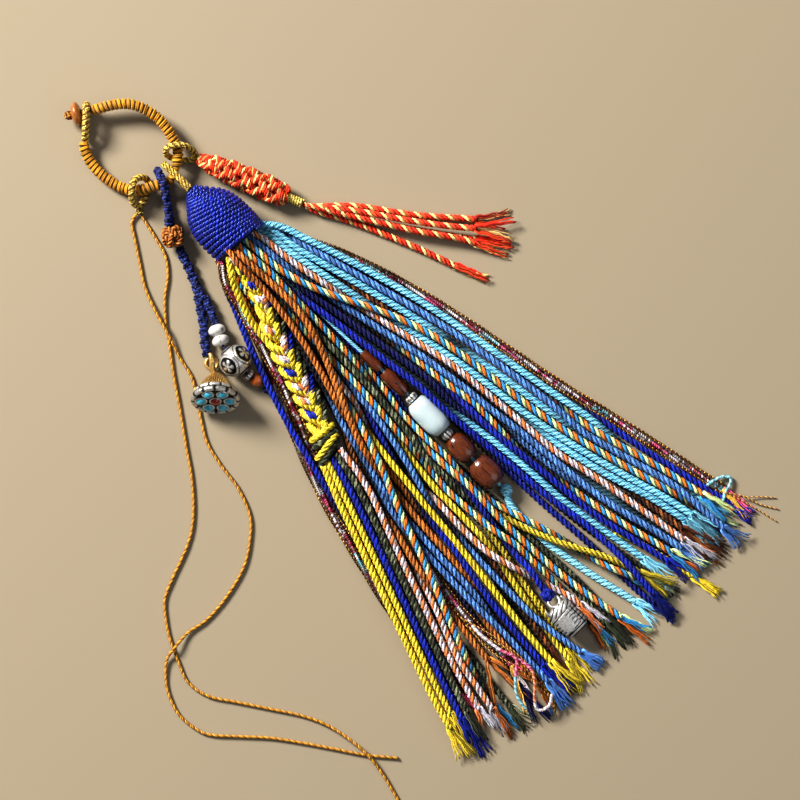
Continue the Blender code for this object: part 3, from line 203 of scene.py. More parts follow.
# %% Grids to meshes
def grid_faces(grid, first, closed):
    """Quads (i,j) (i,j+1) (i+1,j+1) (i+1,j), and the fans that close the ends."""
    rows, sides = grid.shape[:2]
    index = first + np.arange(rows * sides).reshape(rows, sides)
    ahead = np.roll(index, -1, axis=1)
    if closed:
        index, ahead = np.vstack((index, index[:1])), np.vstack((ahead, ahead[:1]))
    quads = np.stack((index[:-1], ahead[:-1], ahead[1:], index[1:]), axis=-1).reshape(-1, 4)
    if closed:
        return quads, np.zeros((0, 3), int)
    top = np.full(sides, first + rows * sides)
    near, far = np.column_stack((top, ahead[0], index[0])), np.column_stack((top + 1, index[-1], ahead[-1]))
    return quads, np.vstack((near, far))


def grid_uv(along, sides, closed):
    """U is the way along in millimetres, V the part of a turn round."""
    if closed:
        along = np.append(along, 2 * along[-1] - along[-2])
    low = np.broadcast_to(along[:-1, None], (len(along) - 1, sides))
    high = np.broadcast_to(along[1:, None], low.shape)
    v = np.broadcast_to(np.arange(sides) / sides, low.shape)
    w = v + 1.0 / sides
    quads = np.stack((low, v, low, w, high, w, high, v), axis=-1).reshape(-1, 2)
    ends = np.repeat([(along[0], 0.5), (along[-1], 0.5)], 3 * sides, axis=0)
    return quads, ends[:0] if closed else ends


def signed_volume(points, quads, fans):
    """Sum of  a . (b x c) / 6  over the triangles."""
    triangles = np.vstack((quads[:, [0, 1, 2]], quads[:, [0, 2, 3]], fans))
    a, b, c = [points[triangles[:, k]] for k in range(3)]
    return float((a * np.cross(b, c)).sum()) / 6.0


def fill_mesh(mesh, points, faces, uvs, dyes):
    """Arrays into the mesh: points, face corners, UV corners and the dye of each point."""
    mesh.vertices.add(len(points))
    mesh.vertices.foreach_set("co", (points * MM).ravel())
    corners = np.concatenate([part.ravel() for part in faces])
    sizes = np.concatenate([np.full(len(part), part.shape[1]) for part in faces])
    mesh.loops.add(len(corners))
    mesh.loops.foreach_set("vertex_index", corners)
    mesh.polygons.add(len(sizes))
    mesh.polygons.foreach_set("loop_start", np.concatenate(([0], np.cumsum(sizes)[:-1])))
    mesh.polygons.foreach_set("use_smooth", np.full(len(sizes), True))
    mesh.uv_layers.new(name="UVMap").data.foreach_set("uv", np.vstack(uvs).ravel())
    dye = mesh.attributes.new("dye", "FLOAT_COLOR", "POINT")
    dye.data.foreach_set("color", np.column_stack((dyes, np.ones(len(dyes)))).ravel())
    mesh.update(calc_edges=True)
    mesh.validate()


def add_piece(name, grids, material, nodes, sharp=None):
    """A mesh object from (grid, dye, closed) rows that stands for some nodes.  A dye is one
    colour, a colour for each row, or one for each point of the grid."""
    points, dyes, faces, uvs = [], [], [], []
    first = 0
    for grid, dye, closed in grids:
        rows, sides = grid.shape[:2]
        along = lengths_along(grid[:, 0] if closed else grid.mean(axis=1))
        own = grid.reshape(-1, 3)
        dye = np.asarray(dye, float)
        tint = dye if dye.ndim == 3 else np.repeat(np.broadcast_to(dye, (rows, 3)), sides, axis=0)
        tint = tint.reshape(-1, 3)
        if not closed:
            own = np.vstack((own, grid[0].mean(axis=0), grid[-1].mean(axis=0)))
            tint = np.vstack((tint, tint[0], tint[-1]))
        quads, fans = grid_faces(grid, 0, closed)
        quad_uv, fan_uv = grid_uv(along, sides, closed)
        if signed_volume(own - own.mean(axis=0), quads, fans) < 0:
            quads, fans = quads[:, ::-1], fans[:, ::-1]
            quad_uv = quad_uv.reshape(-1, 4, 2)[:, ::-1].reshape(-1, 2)
        points.append(own)
        dyes.append(tint)
        faces += [quads + first, fans + first]
        uvs += [quad_uv, fan_uv]
        first += len(own)
    mesh = bpy.data.meshes.new(name)
    fill_mesh(mesh, np.vstack(points), faces, uvs, np.vstack(dyes))
    if sharp is not None:
        mesh.set_sharp_from_angle(angle=math.radians(sharp))
    item = link(bpy.data.objects.new(name, mesh))
    mesh.materials.append(material)
    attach(item, "root")
    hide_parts(*nodes)
    print(f"{name}: {sum(len(part) * (part.shape[1] - 2) for part in faces)} triangles")
    return item


# %% [markdown]
# ## Finishes
# Cotton, glittering thread, wood, stone and old silver each get a material of
# their own.  The fine yarns on a ply, the grain of wood and the grime on cast metal
# are node groups, built once, that put out only masks and heights.

# %% Helpers for node groups and materials
FLOAT = "NodeSocketFloat"


def new_group(name, inputs, outputs):
    """An empty shader node group with its inputs and outputs as named sockets."""
    group = bpy.data.node_groups.new(name, "ShaderNodeTree")
    for title, kind, value in inputs:
        socket = group.interface.new_socket(title, in_out="INPUT", socket_type=kind)
        if value is not None:
            socket.default_value = value
    for title, kind in outputs:
        group.interface.new_socket(title, in_out="OUTPUT", socket_type=kind)
    return group, group.nodes.new("NodeGroupInput").outputs, group.nodes.new("NodeGroupOutput").inputs


def add_node(tree, kind, inputs=None, **settings):
    """A node with its properties set; inputs are values or other nodes' sockets."""
    node = tree.nodes.new("ShaderNode" + kind)
    for key, value in settings.items():
        setattr(node, key, value)
    for key, value in (inputs or {}).items():
        if isinstance(value, bpy.types.NodeSocket):
            tree.links.new(value, node.inputs[key])
        else:
            node.inputs[key].default_value = value
    return node


def math_node(tree, operation, *values):
    """One step of arithmetic; returns its socket."""
    return add_node(tree, "Math", dict(enumerate(values)), operation=operation).outputs[0]


def ramp(tree, factor, stops):
    """A colour ramp from (place, colour) stops."""
    node = add_node(tree, "ValToRGB", {"Fac": factor})
    elements = node.color_ramp.elements
    while len(elements) < len(stops):
        elements.new(0.5)
    for element, (place, colour) in zip(elements, stops):
        element.position, element.color = place, (*colour, 1.0)
    return node.outputs["Color"]


def multiply(tree, one, two):
    """The product of two colours."""
    return add_node(tree, "Mix", {0: 1.0, 6: one, 7: two}, data_type="RGBA", blend_type="MULTIPLY").outputs[2]


def new_material(name, **sockets):
    """A material with values on its shader's own sockets; returns tree and shader."""
    material = bpy.data.materials.new(name)
    material.use_nodes = True
    tree = material.node_tree
    shader = tree.nodes["Principled BSDF"]
    for key, value in sockets.items():
        title = key.replace("_", " ").title().replace("Ior", "IOR")
        shader.inputs[title].default_value = value
    return material, tree, shader


def dye_colour(tree):
    """The colour that the mesh's points carry."""
    return add_node(tree, "Attribute", attribute_name="dye").outputs["Color"]


def add_bump(tree, shader, height, distance, strength=1.0):
    """Tilt the shader's normal by a height."""
    bump = add_node(tree, "Bump", {"Height": height, "Distance": distance, "Strength": strength})
    tree.links.new(bump.outputs["Normal"], shader.inputs["Normal"])


def linear(*colour):
    """A picture colour, 0 to 255, as linear light."""
    part = np.array(colour, float) / 255.0
    return np.where(part <= 0.04045, part / 12.92, ((part + 0.055) / 1.055) ** 2.4)


# %% [markdown]
# ### Fine yarns on a ply
# A ply is itself two or three yarns, and each yarn is a mass of fibres.  Their
# lines follow the piece's own UV map: V counts the way round, U the millimetres
# along, so a sine of V plus a slant of U draws them at the right scale wherever
# the cord runs.  Object noise breaks them up a little.  The lines also darken the colour between the yarns as
# painted shade.

# %% The yarn group
def make_yarn_group():
    """Height  |sin pi (Lines v + Slant u)|^0.8 + Fibre (noise - 0.5);  Shade follows it."""
    group, given, result = new_group(
        "yarn lines",
        [("Lines", FLOAT, 3.0), ("Slant", FLOAT, 0.3), ("Fibre", FLOAT, 0.5)],
        [("Shade", FLOAT), ("Height", FLOAT)])
    place = add_node(group, "UVMap", uv_map="UVMap").outputs["UV"]
    parts = add_node(group, "SeparateXYZ", {0: place}).outputs
    turn = math_node(group, "ADD", math_node(group, "MULTIPLY", parts[1], given["Lines"]),
                     math_node(group, "MULTIPLY", parts[0], given["Slant"]))
    wave = math_node(group, "ABSOLUTE", math_node(group, "SINE", math_node(group, "MULTIPLY", turn, math.pi)))
    ridge = math_node(group, "POWER", wave, 0.8)
    where = add_node(group, "TexCoord").outputs["Object"]
    fibre = add_node(group, "TexNoise", {"Vector": where, "Scale": 3200.0, "Detail": 3.0}).outputs[0]
    patch = add_node(group, "TexNoise", {"Vector": where, "Scale": 420.0, "Detail": 1.0}).outputs[0]
    centred = math_node(group, "SUBTRACT", fibre, 0.5)
    mixed = math_node(group, "ADD", ridge, math_node(group, "MULTIPLY", centred, given["Fibre"]))
    group.links.new(mixed, result["Height"])
    # Shade: the ridges darken the colour between the fine yarns as painted shade; the slow patches add random
    # tone
    lines = math_node(group, "MULTIPLY", mixed, 0.85)
    shade = math_node(group, "ADD", lines, math_node(group, "MULTIPLY", patch, 0.7))
    group.links.new(math_node(group, "ADD", shade, 0.05), result["Shade"])
    return group


YARN_LINES = make_yarn_group()


def cotton(name, lines=5.0, slant=0.45, roughness=0.62, sheen=0.04, bump=0.00022, shine=0.3,
           tint=(1.0, 1.0, 1.0, 1.0)):
    """Dyed cotton: the dye attribute, darkened between the fine yarns as painted shade."""
    material, tree, shader = new_material(name, roughness=roughness, sheen_weight=sheen, sheen_roughness=0.5,
                                          specular_ior_level=shine, specular_tint=tint)
    yarn = add_node(tree, "Group", {"Lines": lines, "Slant": slant}, node_tree=YARN_LINES)
    tree.links.new(multiply(tree, dye_colour(tree), yarn.outputs["Shade"]), shader.inputs["Base Color"])
    add_bump(tree, shader, yarn.outputs["Height"], bump)
    return material


COTTON = cotton("dyed cotton")
FINE_COTTON = cotton("fine cotton", lines=2.0, slant=0.6, bump=0.0001)
HEAD_COTTON = cotton("glossy winding cord", lines=2.0, slant=0.6, roughness=0.33, bump=0.00012, shine=1.0,
                     tint=(0.40, 0.55, 1.0, 1.0))

# %% [markdown]
# ### Glittering thread
# Metal thread is a flat foil wound on a core: short dashes catch the light and
# the rest is dark.  Cells of noise choose which dash is lit; the others get a dark
# colour as painted shade, and the same mask lowers the roughness on the lit ones.

# %% Metal thread
def glitter(name, dark, share, metallic):
    """The dye on the lit cells, a dark colour painted as shade on the given share of them."""
    material, tree, shader = new_material(name, metallic=metallic)
    where = add_node(tree, "TexCoord").outputs["Object"]
    cell = add_node(tree, "TexVoronoi", {"Vector": where, "Scale": 2600.0, "Randomness": 1.0})
    pick = add_node(tree, "SeparateColor", {0: cell.outputs["Color"]}).outputs[0]
    # painted glints: lit cells keep the dye, the others are painted dark as shade
    lit = math_node(tree, "GREATER_THAN", pick, share)
    base = add_node(tree, "Mix", {0: lit, 6: (*dark, 1.0), 7: dye_colour(tree)}, data_type="RGBA").outputs[2]
    tree.links.new(base, shader.inputs["Base Color"])
    rough = math_node(tree, "SUBTRACT", 0.62, math_node(tree, "MULTIPLY", lit, 0.3))
    tree.links.new(rough, shader.inputs["Roughness"])
    add_bump(tree, shader, math_node(tree, "ADD", cell.outputs["Distance"], pick), 0.00015, 0.7)
    return material


GOLD_THREAD = glitter("gold thread", (0.12, 0.055, 0.008), 0.30, 0.15)
METALLIC_YARN = glitter("metallic yarn", (0.16, 0.03, 0.03), 0.04, 0.05)

# %% [markdown]
# ### Wood, stone and old metal
# Beads are small and glossy.  The wooden ones show long dark grain, the pale stone
# and the turquoise a slow cloud of a few colours.  Cast silver is kept bright on its
# high places and black in the low ones: the pieces carry that as their dye, and
# the grime group mottles it, as it does the gilt.

# %% Grain, clouds and grime
def make_grain_group():
    """Mask: detailed noise, a little distorted."""
    group, given, result = new_group(
        "long grain", [("Vector", "NodeSocketVector", None), ("Scale", FLOAT, 900.0)],
        [("Mask", FLOAT)])
    noise = add_node(group, "TexNoise", {"Vector": given["Vector"], "Scale": given["Scale"], "Detail": 5.0,
                                         "Roughness": 0.65, "Distortion": 0.6})
    group.links.new(noise.outputs[0], result["Mask"])
    return group


def make_grime_group():
    """Height: noise.  Mask: the same, stronger and softly cut at 1."""
    group, given, result = new_group(
        "grime", [("Scale", FLOAT, 1200.0)], [("Mask", FLOAT), ("Height", FLOAT)])
    where = add_node(group, "TexCoord").outputs["Object"]
    noise = add_node(group, "TexNoise", {"Vector": where, "Scale": given["Scale"], "Detail": 4.0}).outputs[0]
    group.links.new(noise, result["Height"])
    strong = math_node(group, "MULTIPLY", noise, 1.5)
    group.links.new(math_node(group, "SMOOTH_MIN", strong, 1.0, 0.2), result["Mask"])
    return group


GRAIN = make_grain_group()
GRIME = make_grime_group()


def wood(name, dark, light, along, roughness=0.22):
    """Grain stretched along the bead's axis, by a Mapping that squeezes the noise there."""
    material, tree, shader = new_material(name, roughness=roughness, coat_weight=0.6, coat_roughness=0.08)
    where = add_node(tree, "TexCoord").outputs["Object"]
    squeeze = {"Vector": where, "Rotation": (0.0, 0.0, along), "Scale": (1.0, 0.07, 1.0)}
    turned = add_node(tree, "Mapping", squeeze)
    grain = add_node(tree, "Group", {"Vector": turned.outputs[0], "Scale": 1000.0}, node_tree=GRAIN)
    half_light = tuple(0.5 * c for c in light)
    stops = [(0.38, dark), (0.50, light), (0.56, half_light), (0.66, light)]
    tree.links.new(ramp(tree, grain.outputs["Mask"], stops), shader.inputs["Base Color"])
    add_bump(tree, shader, grain.outputs["Mask"], 0.00008)
    return material


def stone(name, colours, scale, roughness=0.18):
    """A slow mix of a stone's colours."""
    material, tree, shader = new_material(name, roughness=roughness, coat_weight=0.5, coat_roughness=0.05)
    where = add_node(tree, "TexCoord").outputs["Object"]
    noise = add_node(tree, "TexNoise", {"Vector": where, "Scale": scale, "Detail": 4.0})
    steps = np.linspace(0.25, 0.75, len(colours))
    tree.links.new(ramp(tree, noise.outputs[0], list(zip(steps, colours))), shader.inputs["Base Color"])
    add_bump(tree, shader, noise.outputs[0], 0.00005)
    return material


def cast_metal(name, roughness):
    """Cast metal: the dye gives bright and black places, grime mottles them."""
    material, tree, shader = new_material(name, metallic=0.8)
    dirt = add_node(tree, "Group", {"Scale": 1100.0}, node_tree=GRIME)
    tree.links.new(multiply(tree, dye_colour(tree), dirt.outputs["Mask"]), shader.inputs["Base Color"])
    less = math_node(tree, "MULTIPLY", dirt.outputs["Mask"], 0.2)
    rough = math_node(tree, "SUBTRACT", roughness + 0.2, less)
    tree.links.new(rough, shader.inputs["Roughness"])
    add_bump(tree, shader, dirt.outputs["Height"], 0.00006)
    return material


DARK_WOOD = wood("dark wood", (0.004, 0.0015, 0.001), (0.150, 0.034, 0.009), 0.0)
ORANGE_WOOD = wood("orange wood", (0.14, 0.038, 0.006), (0.40, 0.13, 0.020), 0.8, 0.35)
SILVER = cast_metal("old silver", 0.32)
GILT = cast_metal("gilt metal", 0.36)
JADE = stone("pale jade", [(0.36, 0.47, 0.49), (0.46, 0.56, 0.58), (0.52, 0.60, 0.61)], 160.0)
TURQUOISE = stone("turquoise", [(0.03, 0.20, 0.28), (0.06, 0.42, 0.58), (0.13, 0.55, 0.68)], 700.0, 0.2)
RED_STONE = stone("red stone", [(0.18, 0.004, 0.004), (0.42, 0.012, 0.01)], 500.0, 0.15)
SPOTTED = [(0.04, 0.03, 0.03), (0.52, 0.50, 0.47), (0.56, 0.55, 0.52), (0.60, 0.58, 0.56)]
WHITE_BEAD = stone("spotted white bead", SPOTTED, 620.0, 0.3)
ORANGE_BEAD = stone("orange bead", [(0.34, 0.07, 0.01), (0.66, 0.16, 0.02)], 260.0, 0.15)
print(len(bpy.data.materials), "materials so far")

# %% [markdown]
# ## Twisted cords
# A three-ply cord is three round plies that turn about one axis.  In the settled
# slices a cord is one circle; here the circle becomes three smaller ones on a
# helix.  The sign of the helix is the lay of the rope: most of these cords are
# laid one way and the light blue one the other, which shows as marks that lean
# across each other.

# %% The colours of the yarns
BLUES = dict(light=linear(150, 226, 252), corn=linear(104, 158, 236), royal=linear(14, 36, 158),
             head=linear(12, 30, 172), navy=linear(12, 18, 88))
WARM = dict(yellow=linear(255, 226, 64), orange=linear(244, 128, 40), brown=linear(204, 122, 50),
            dark=linear(110, 52, 20), cream=linear(226, 222, 232), peach=linear(226, 134, 74))
GREENS = dict(pale=linear(226, 244, 172), olive=linear(54, 60, 40), fleck=linear(168, 174, 140))
SPARKS = dict(pink=linear(236, 96, 146), silver=linear(240, 232, 238), turquoise=linear(140, 212, 226),
              gold=linear(240, 190, 84), wine=linear(110, 34, 30), white=linear(255, 246, 248),
              rose=linear(198, 72, 96))
PITCH = 7.3  # one turn of the plies, in millimetres
STEP = 0.95  # between two rings of a ply


def tones(colour, *strengths):
    """One colour, dyed lighter or darker for each ply."""
    return [strength * colour for strength in strengths]


# Yarn: the colours of its plies, its lay, and how much each ply's colour wanders.
YARNS = {
    "three colour": ([WARM["orange"], GREENS["pale"], linear(66, 160, 222)], 1, 0.05),
    "light blue": (tones(BLUES["light"], 1.0, 0.84, 1.1), -1, 0.10),
    "cornflower": (tones(BLUES["corn"], 1.0, 0.55, 1.25), 1, 0.10),
    "royal blue": (tones(BLUES["royal"], 1.0, 0.7, 1.25), 1, 0.12),
    "yellow": (tones(WARM["yellow"], 1.0, 0.88, 1.0), 1, 0.06),
    "white orange": ([WARM["cream"], WARM["cream"], 1.1 * WARM["peach"]], 1, 0.12),
    "orange brown": (tones(WARM["brown"], 1.0, 0.75, 1.2), 1, 0.12),
    "brown": ([WARM["dark"], 0.7 * WARM["dark"], 0.8 * WARM["brown"]], 1, 0.15),
    "olive": (tones(GREENS["olive"], 1.0, 0.6, 1.3), 1, 0.2),
    "navy": (tones(BLUES["navy"], 1.0, 0.7, 1.3), 1, 0.1),
}


def wander(colour, rows, amount, rng, other=None, every=4):
    """A ply's colour along its way: brightness that drifts, or patches of another colour."""
    knots = max(4, rows // every)
    drift = np.interp(np.linspace(0, 1, rows), np.linspace(0, 1, knots), rng.normal(0.0, 1.0, knots))
    tints = colour * np.clip(1.0 + amount * drift[:, None], 0.35, 1.7)
    if other is not None:
        share = np.clip(2.5 * (drift[:, None] - 0.5), 0, 1)
        tints = tints * (1 - share) + other * share
    return tints


def ply_dyes(yarn, rows, rng):
    """One array of colours for each ply of a yarn."""
    colours, _, amount = YARNS[yarn]
    if yarn == "olive":
        return [wander(one, rows, amount, rng, GREENS["fleck"] * 0.7, 2) for one in colours]
    return [wander(one, rows, amount, rng) for one in colours]


# Yarns whose plies are made of two colours: the second one and how many of a ply's sides it has.
SECOND_COLOUR = {
    "white orange": (WARM["peach"], 1), "cornflower": (0.45 * BLUES["corn"], 2),
    "olive": (0.5 * GREENS["fleck"], 1), "light blue": (linear(84, 176, 220), 2),
    "royal blue": (1.9 * BLUES["royal"], 1),
}


def striped(yarn, dyes, sides=6):
    """Give each ply of a two-coloured yarn fine stripes that turn round it: on ply k, side j
    of row i has the second colour where  (j + 2 i + 2 k) mod sides  is below its share."""
    if yarn not in SECOND_COLOUR:
        return dyes
    other, share = SECOND_COLOUR[yarn]
    shown = []
    for k, dye in enumerate(dyes):
        dye = np.asarray(dye)
        turn = (np.arange(sides)[None] + 2 * np.arange(len(dye))[:, None] + 2 * k) % sides
        # the second colour follows the ply's drift and its painted shadow
        bright = np.minimum(dye.sum(axis=1) / YARNS[yarn][0][k].sum(), 1.3)[:, None, None]
        own = dye[:, None] + np.zeros((1, sides, 1))
        shown.append(np.where((turn < share)[..., None], other * bright, own))
    return shown


def plied(path, radius, pitch, dyes, lay=1, sides=6, phase=0.0, core=0.44, ply=0.56,
          up=(0, 0, 1), cyclic=False, groove=0.06):
    """Tubes of a twisted cord.  Ply k follows  path + core r (cos a * side + sin a * normal)
    with  a = phase + lay * 2 pi * way / pitch + 2 pi k / plies,  and has the radius ply * r.
    A ply's dye carries painted shade: it is fullest on its back and fades to the share `groove` where it
    dives between the others."""
    side, normal = across(path, up, cyclic)
    radius = np.broadcast_to(radius, (len(path),))
    way = lengths_along(path)
    if cyclic:
        whole = way[-1] + np.linalg.norm(path[0] - path[-1])
        pitch = whole / max(1, round(whole / pitch))
    height = np.sin(turns(sides))
    # painted shade: each ply's colour darkens on the sides that turn into the groove between plies
    depth = (groove + (1.0 - groove) * np.clip((height + 0.3) / 0.95, 0, 1))[None, :, None]
    tubes = []
    for k, dye in enumerate(dyes):
        dye = np.asarray(dye, float)
        dye = (dye if dye.ndim == 3 else np.broadcast_to(dye, (len(path), 3))[:, None]) * depth
        out = round_points(phase + lay * FULL_TURN * way / pitch + FULL_TURN * k / len(dyes), side, normal)
        strand = path + core * radius[:, None] * out
        tubes.append((tube(strand, ply * radius, sides, out, cyclic), dye, cyclic))
    return tubes


# %% [markdown]
# ## The two free ties
# Two thin waxed cords hang from the gold loop, cross each other and wander over
# the table.  They are the only free cords here, and each runs along the whole path
# that the photo shows, from its knot to its end.  They are made before the rest.

# %% The ties' paths
# X and Y, and the height where a tie rises: off the knot, and where it crosses another cord.
TIE_A = (
    (-21.3, 30, 1.2), (-23.6, 29.6, 0.9), (-25.9, 28.2), (-29, 23.4), (-34.4, 15.2), (-39.7, 7, 0.9),
    (-44, -4.1, 1.7), (-46.2, -12, 2.6), (-49.9, -23, 0.9), (-52.4, -32.6), (-60.6, -45.2), (-66, -54.4),
    (-68.6, -64.6), (-70.4, -76.7), (-74.8, -87.5), (-81.6, -94.3), (-90.9, -100.2), (-103.4, -103.6),
    (-115.8, -104.7), (-125.4, -103, 1.2), (-133.5, -103.5, 2.5), (-139, -104.7, 1.4), (-144.4, -109.5),
    (-148.1, -114.9), (-151, -123.3), (-150.3, -132.5), (-147.5, -138.7), (-140, -147), (-131.7, -156.2),
    (-124, -166.7), (-116.7, -177.4), (-109.6, -187.9), (-101.4, -197.8),
)
TIE_B = (
    (-20.5, 28, 1), (-21.1, 25.9), (-21.9, 22), (-22.8, 18.3), (-25, 10.4), (-29.8, 3.9), (-37.5, -2.1),
    (-44.8, -10), (-48.5, -15.4), (-55.6, -24.8), (-64.3, -37.4), (-72.8, -49.3), (-81, -60.9),
    (-90.8, -71.5), (-100.3, -77.9), (-114.6, -83.4), (-122.3, -86.9), (-127.7, -92.9), (-132.1, -99.5),
    (-136.3, -108.6), (-139.3, -116.9), (-137.6, -126.5), (-131.4, -136.1), (-123.5, -148), (-116.4, -159),
    (-112.1, -168.4, 1.2), (-109.9, -177.6, 2.2), (-109, -187.3, 2.5), (-110.2, -197.5, 1.2),
    (-112.4, -206.6), (-115.5, -218), (-118.5, -228.5),
)
TIE_DIAMETER = 1.5
TIE_DYES = [linear(226, 168, 52), linear(150, 92, 22), linear(204, 144, 40)]
WAXED = cotton("waxed thin cord", lines=2.0, slant=0.5, roughness=0.42, sheen=0.05, bump=0.00006)


def add_tie(name, points, node):
    """A three-ply cord of 1.5 mm along the smooth path."""
    path = smooth_route([(point + (TIE_DIAMETER / 2,))[:3] for point in points], 0.5)
    grids = plied(path, TIE_DIAMETER / 2, 2.6, TIE_DYES, sides=5, core=0.42, ply=0.55)
    item = add_piece(name, grids, WAXED, [node])


add_tie("tie_one", TIE_A, "tie_cord_a")
add_tie("tie_two", TIE_B, "tie_cord_b")

# %% [markdown]
# ## Where the skirt's cords lie
# Fifty cords leave the head's mouth, fan out, and change places on the way.  A
# table gives each cord's yarn, length, layer and its place across the skirt every
# 20 mm.  Tables alone would let cords run through each other, so a slice of
# circles, one for each cord, is carried down the skirt and pushed apart at every
# station.  A rope simulation would do the same far more slowly.

# %% The skirt's tables
GAP = 0.3  # between cords that touch
HEAD_AXIS_Z = 12.0  # height of the wound head's axis
HEAD_TOP_Y = 20.6
MOUTH_Y = -9.0  # where the skirt leaves the head
CORD_RADIUS = 1.6
SQUEEZED_RADIUS = 1.15  # in the grip of the head
COLUMN_STEP = 20.0  # mm along the skirt between two columns of SKIRT
STATION_STEP = 5.0  # mm between the stations where the cords are settled
STATIONS = 47  # stations 0, 5, ... 230 mm below the mouth
ROOT_DEPTH = 4.0  # how far a tail is gripped inside the braid
FREED = 15.0  # from its grip a cord takes this far to its full thickness
FIRST_ROUNDS = 500  # rounds of settling at the mouth
ROUNDS = 90  # rounds of settling at each later station
LONGEST_MOVE = 1.2  # off its own way, from one station to the next
SMOOTHINGS = 14
GOLDEN = 0.618  # spreads the hidden cords through the bundle's depth
MOUTH_REACH = 10.5  # how far from the head's axis a cord may leave it

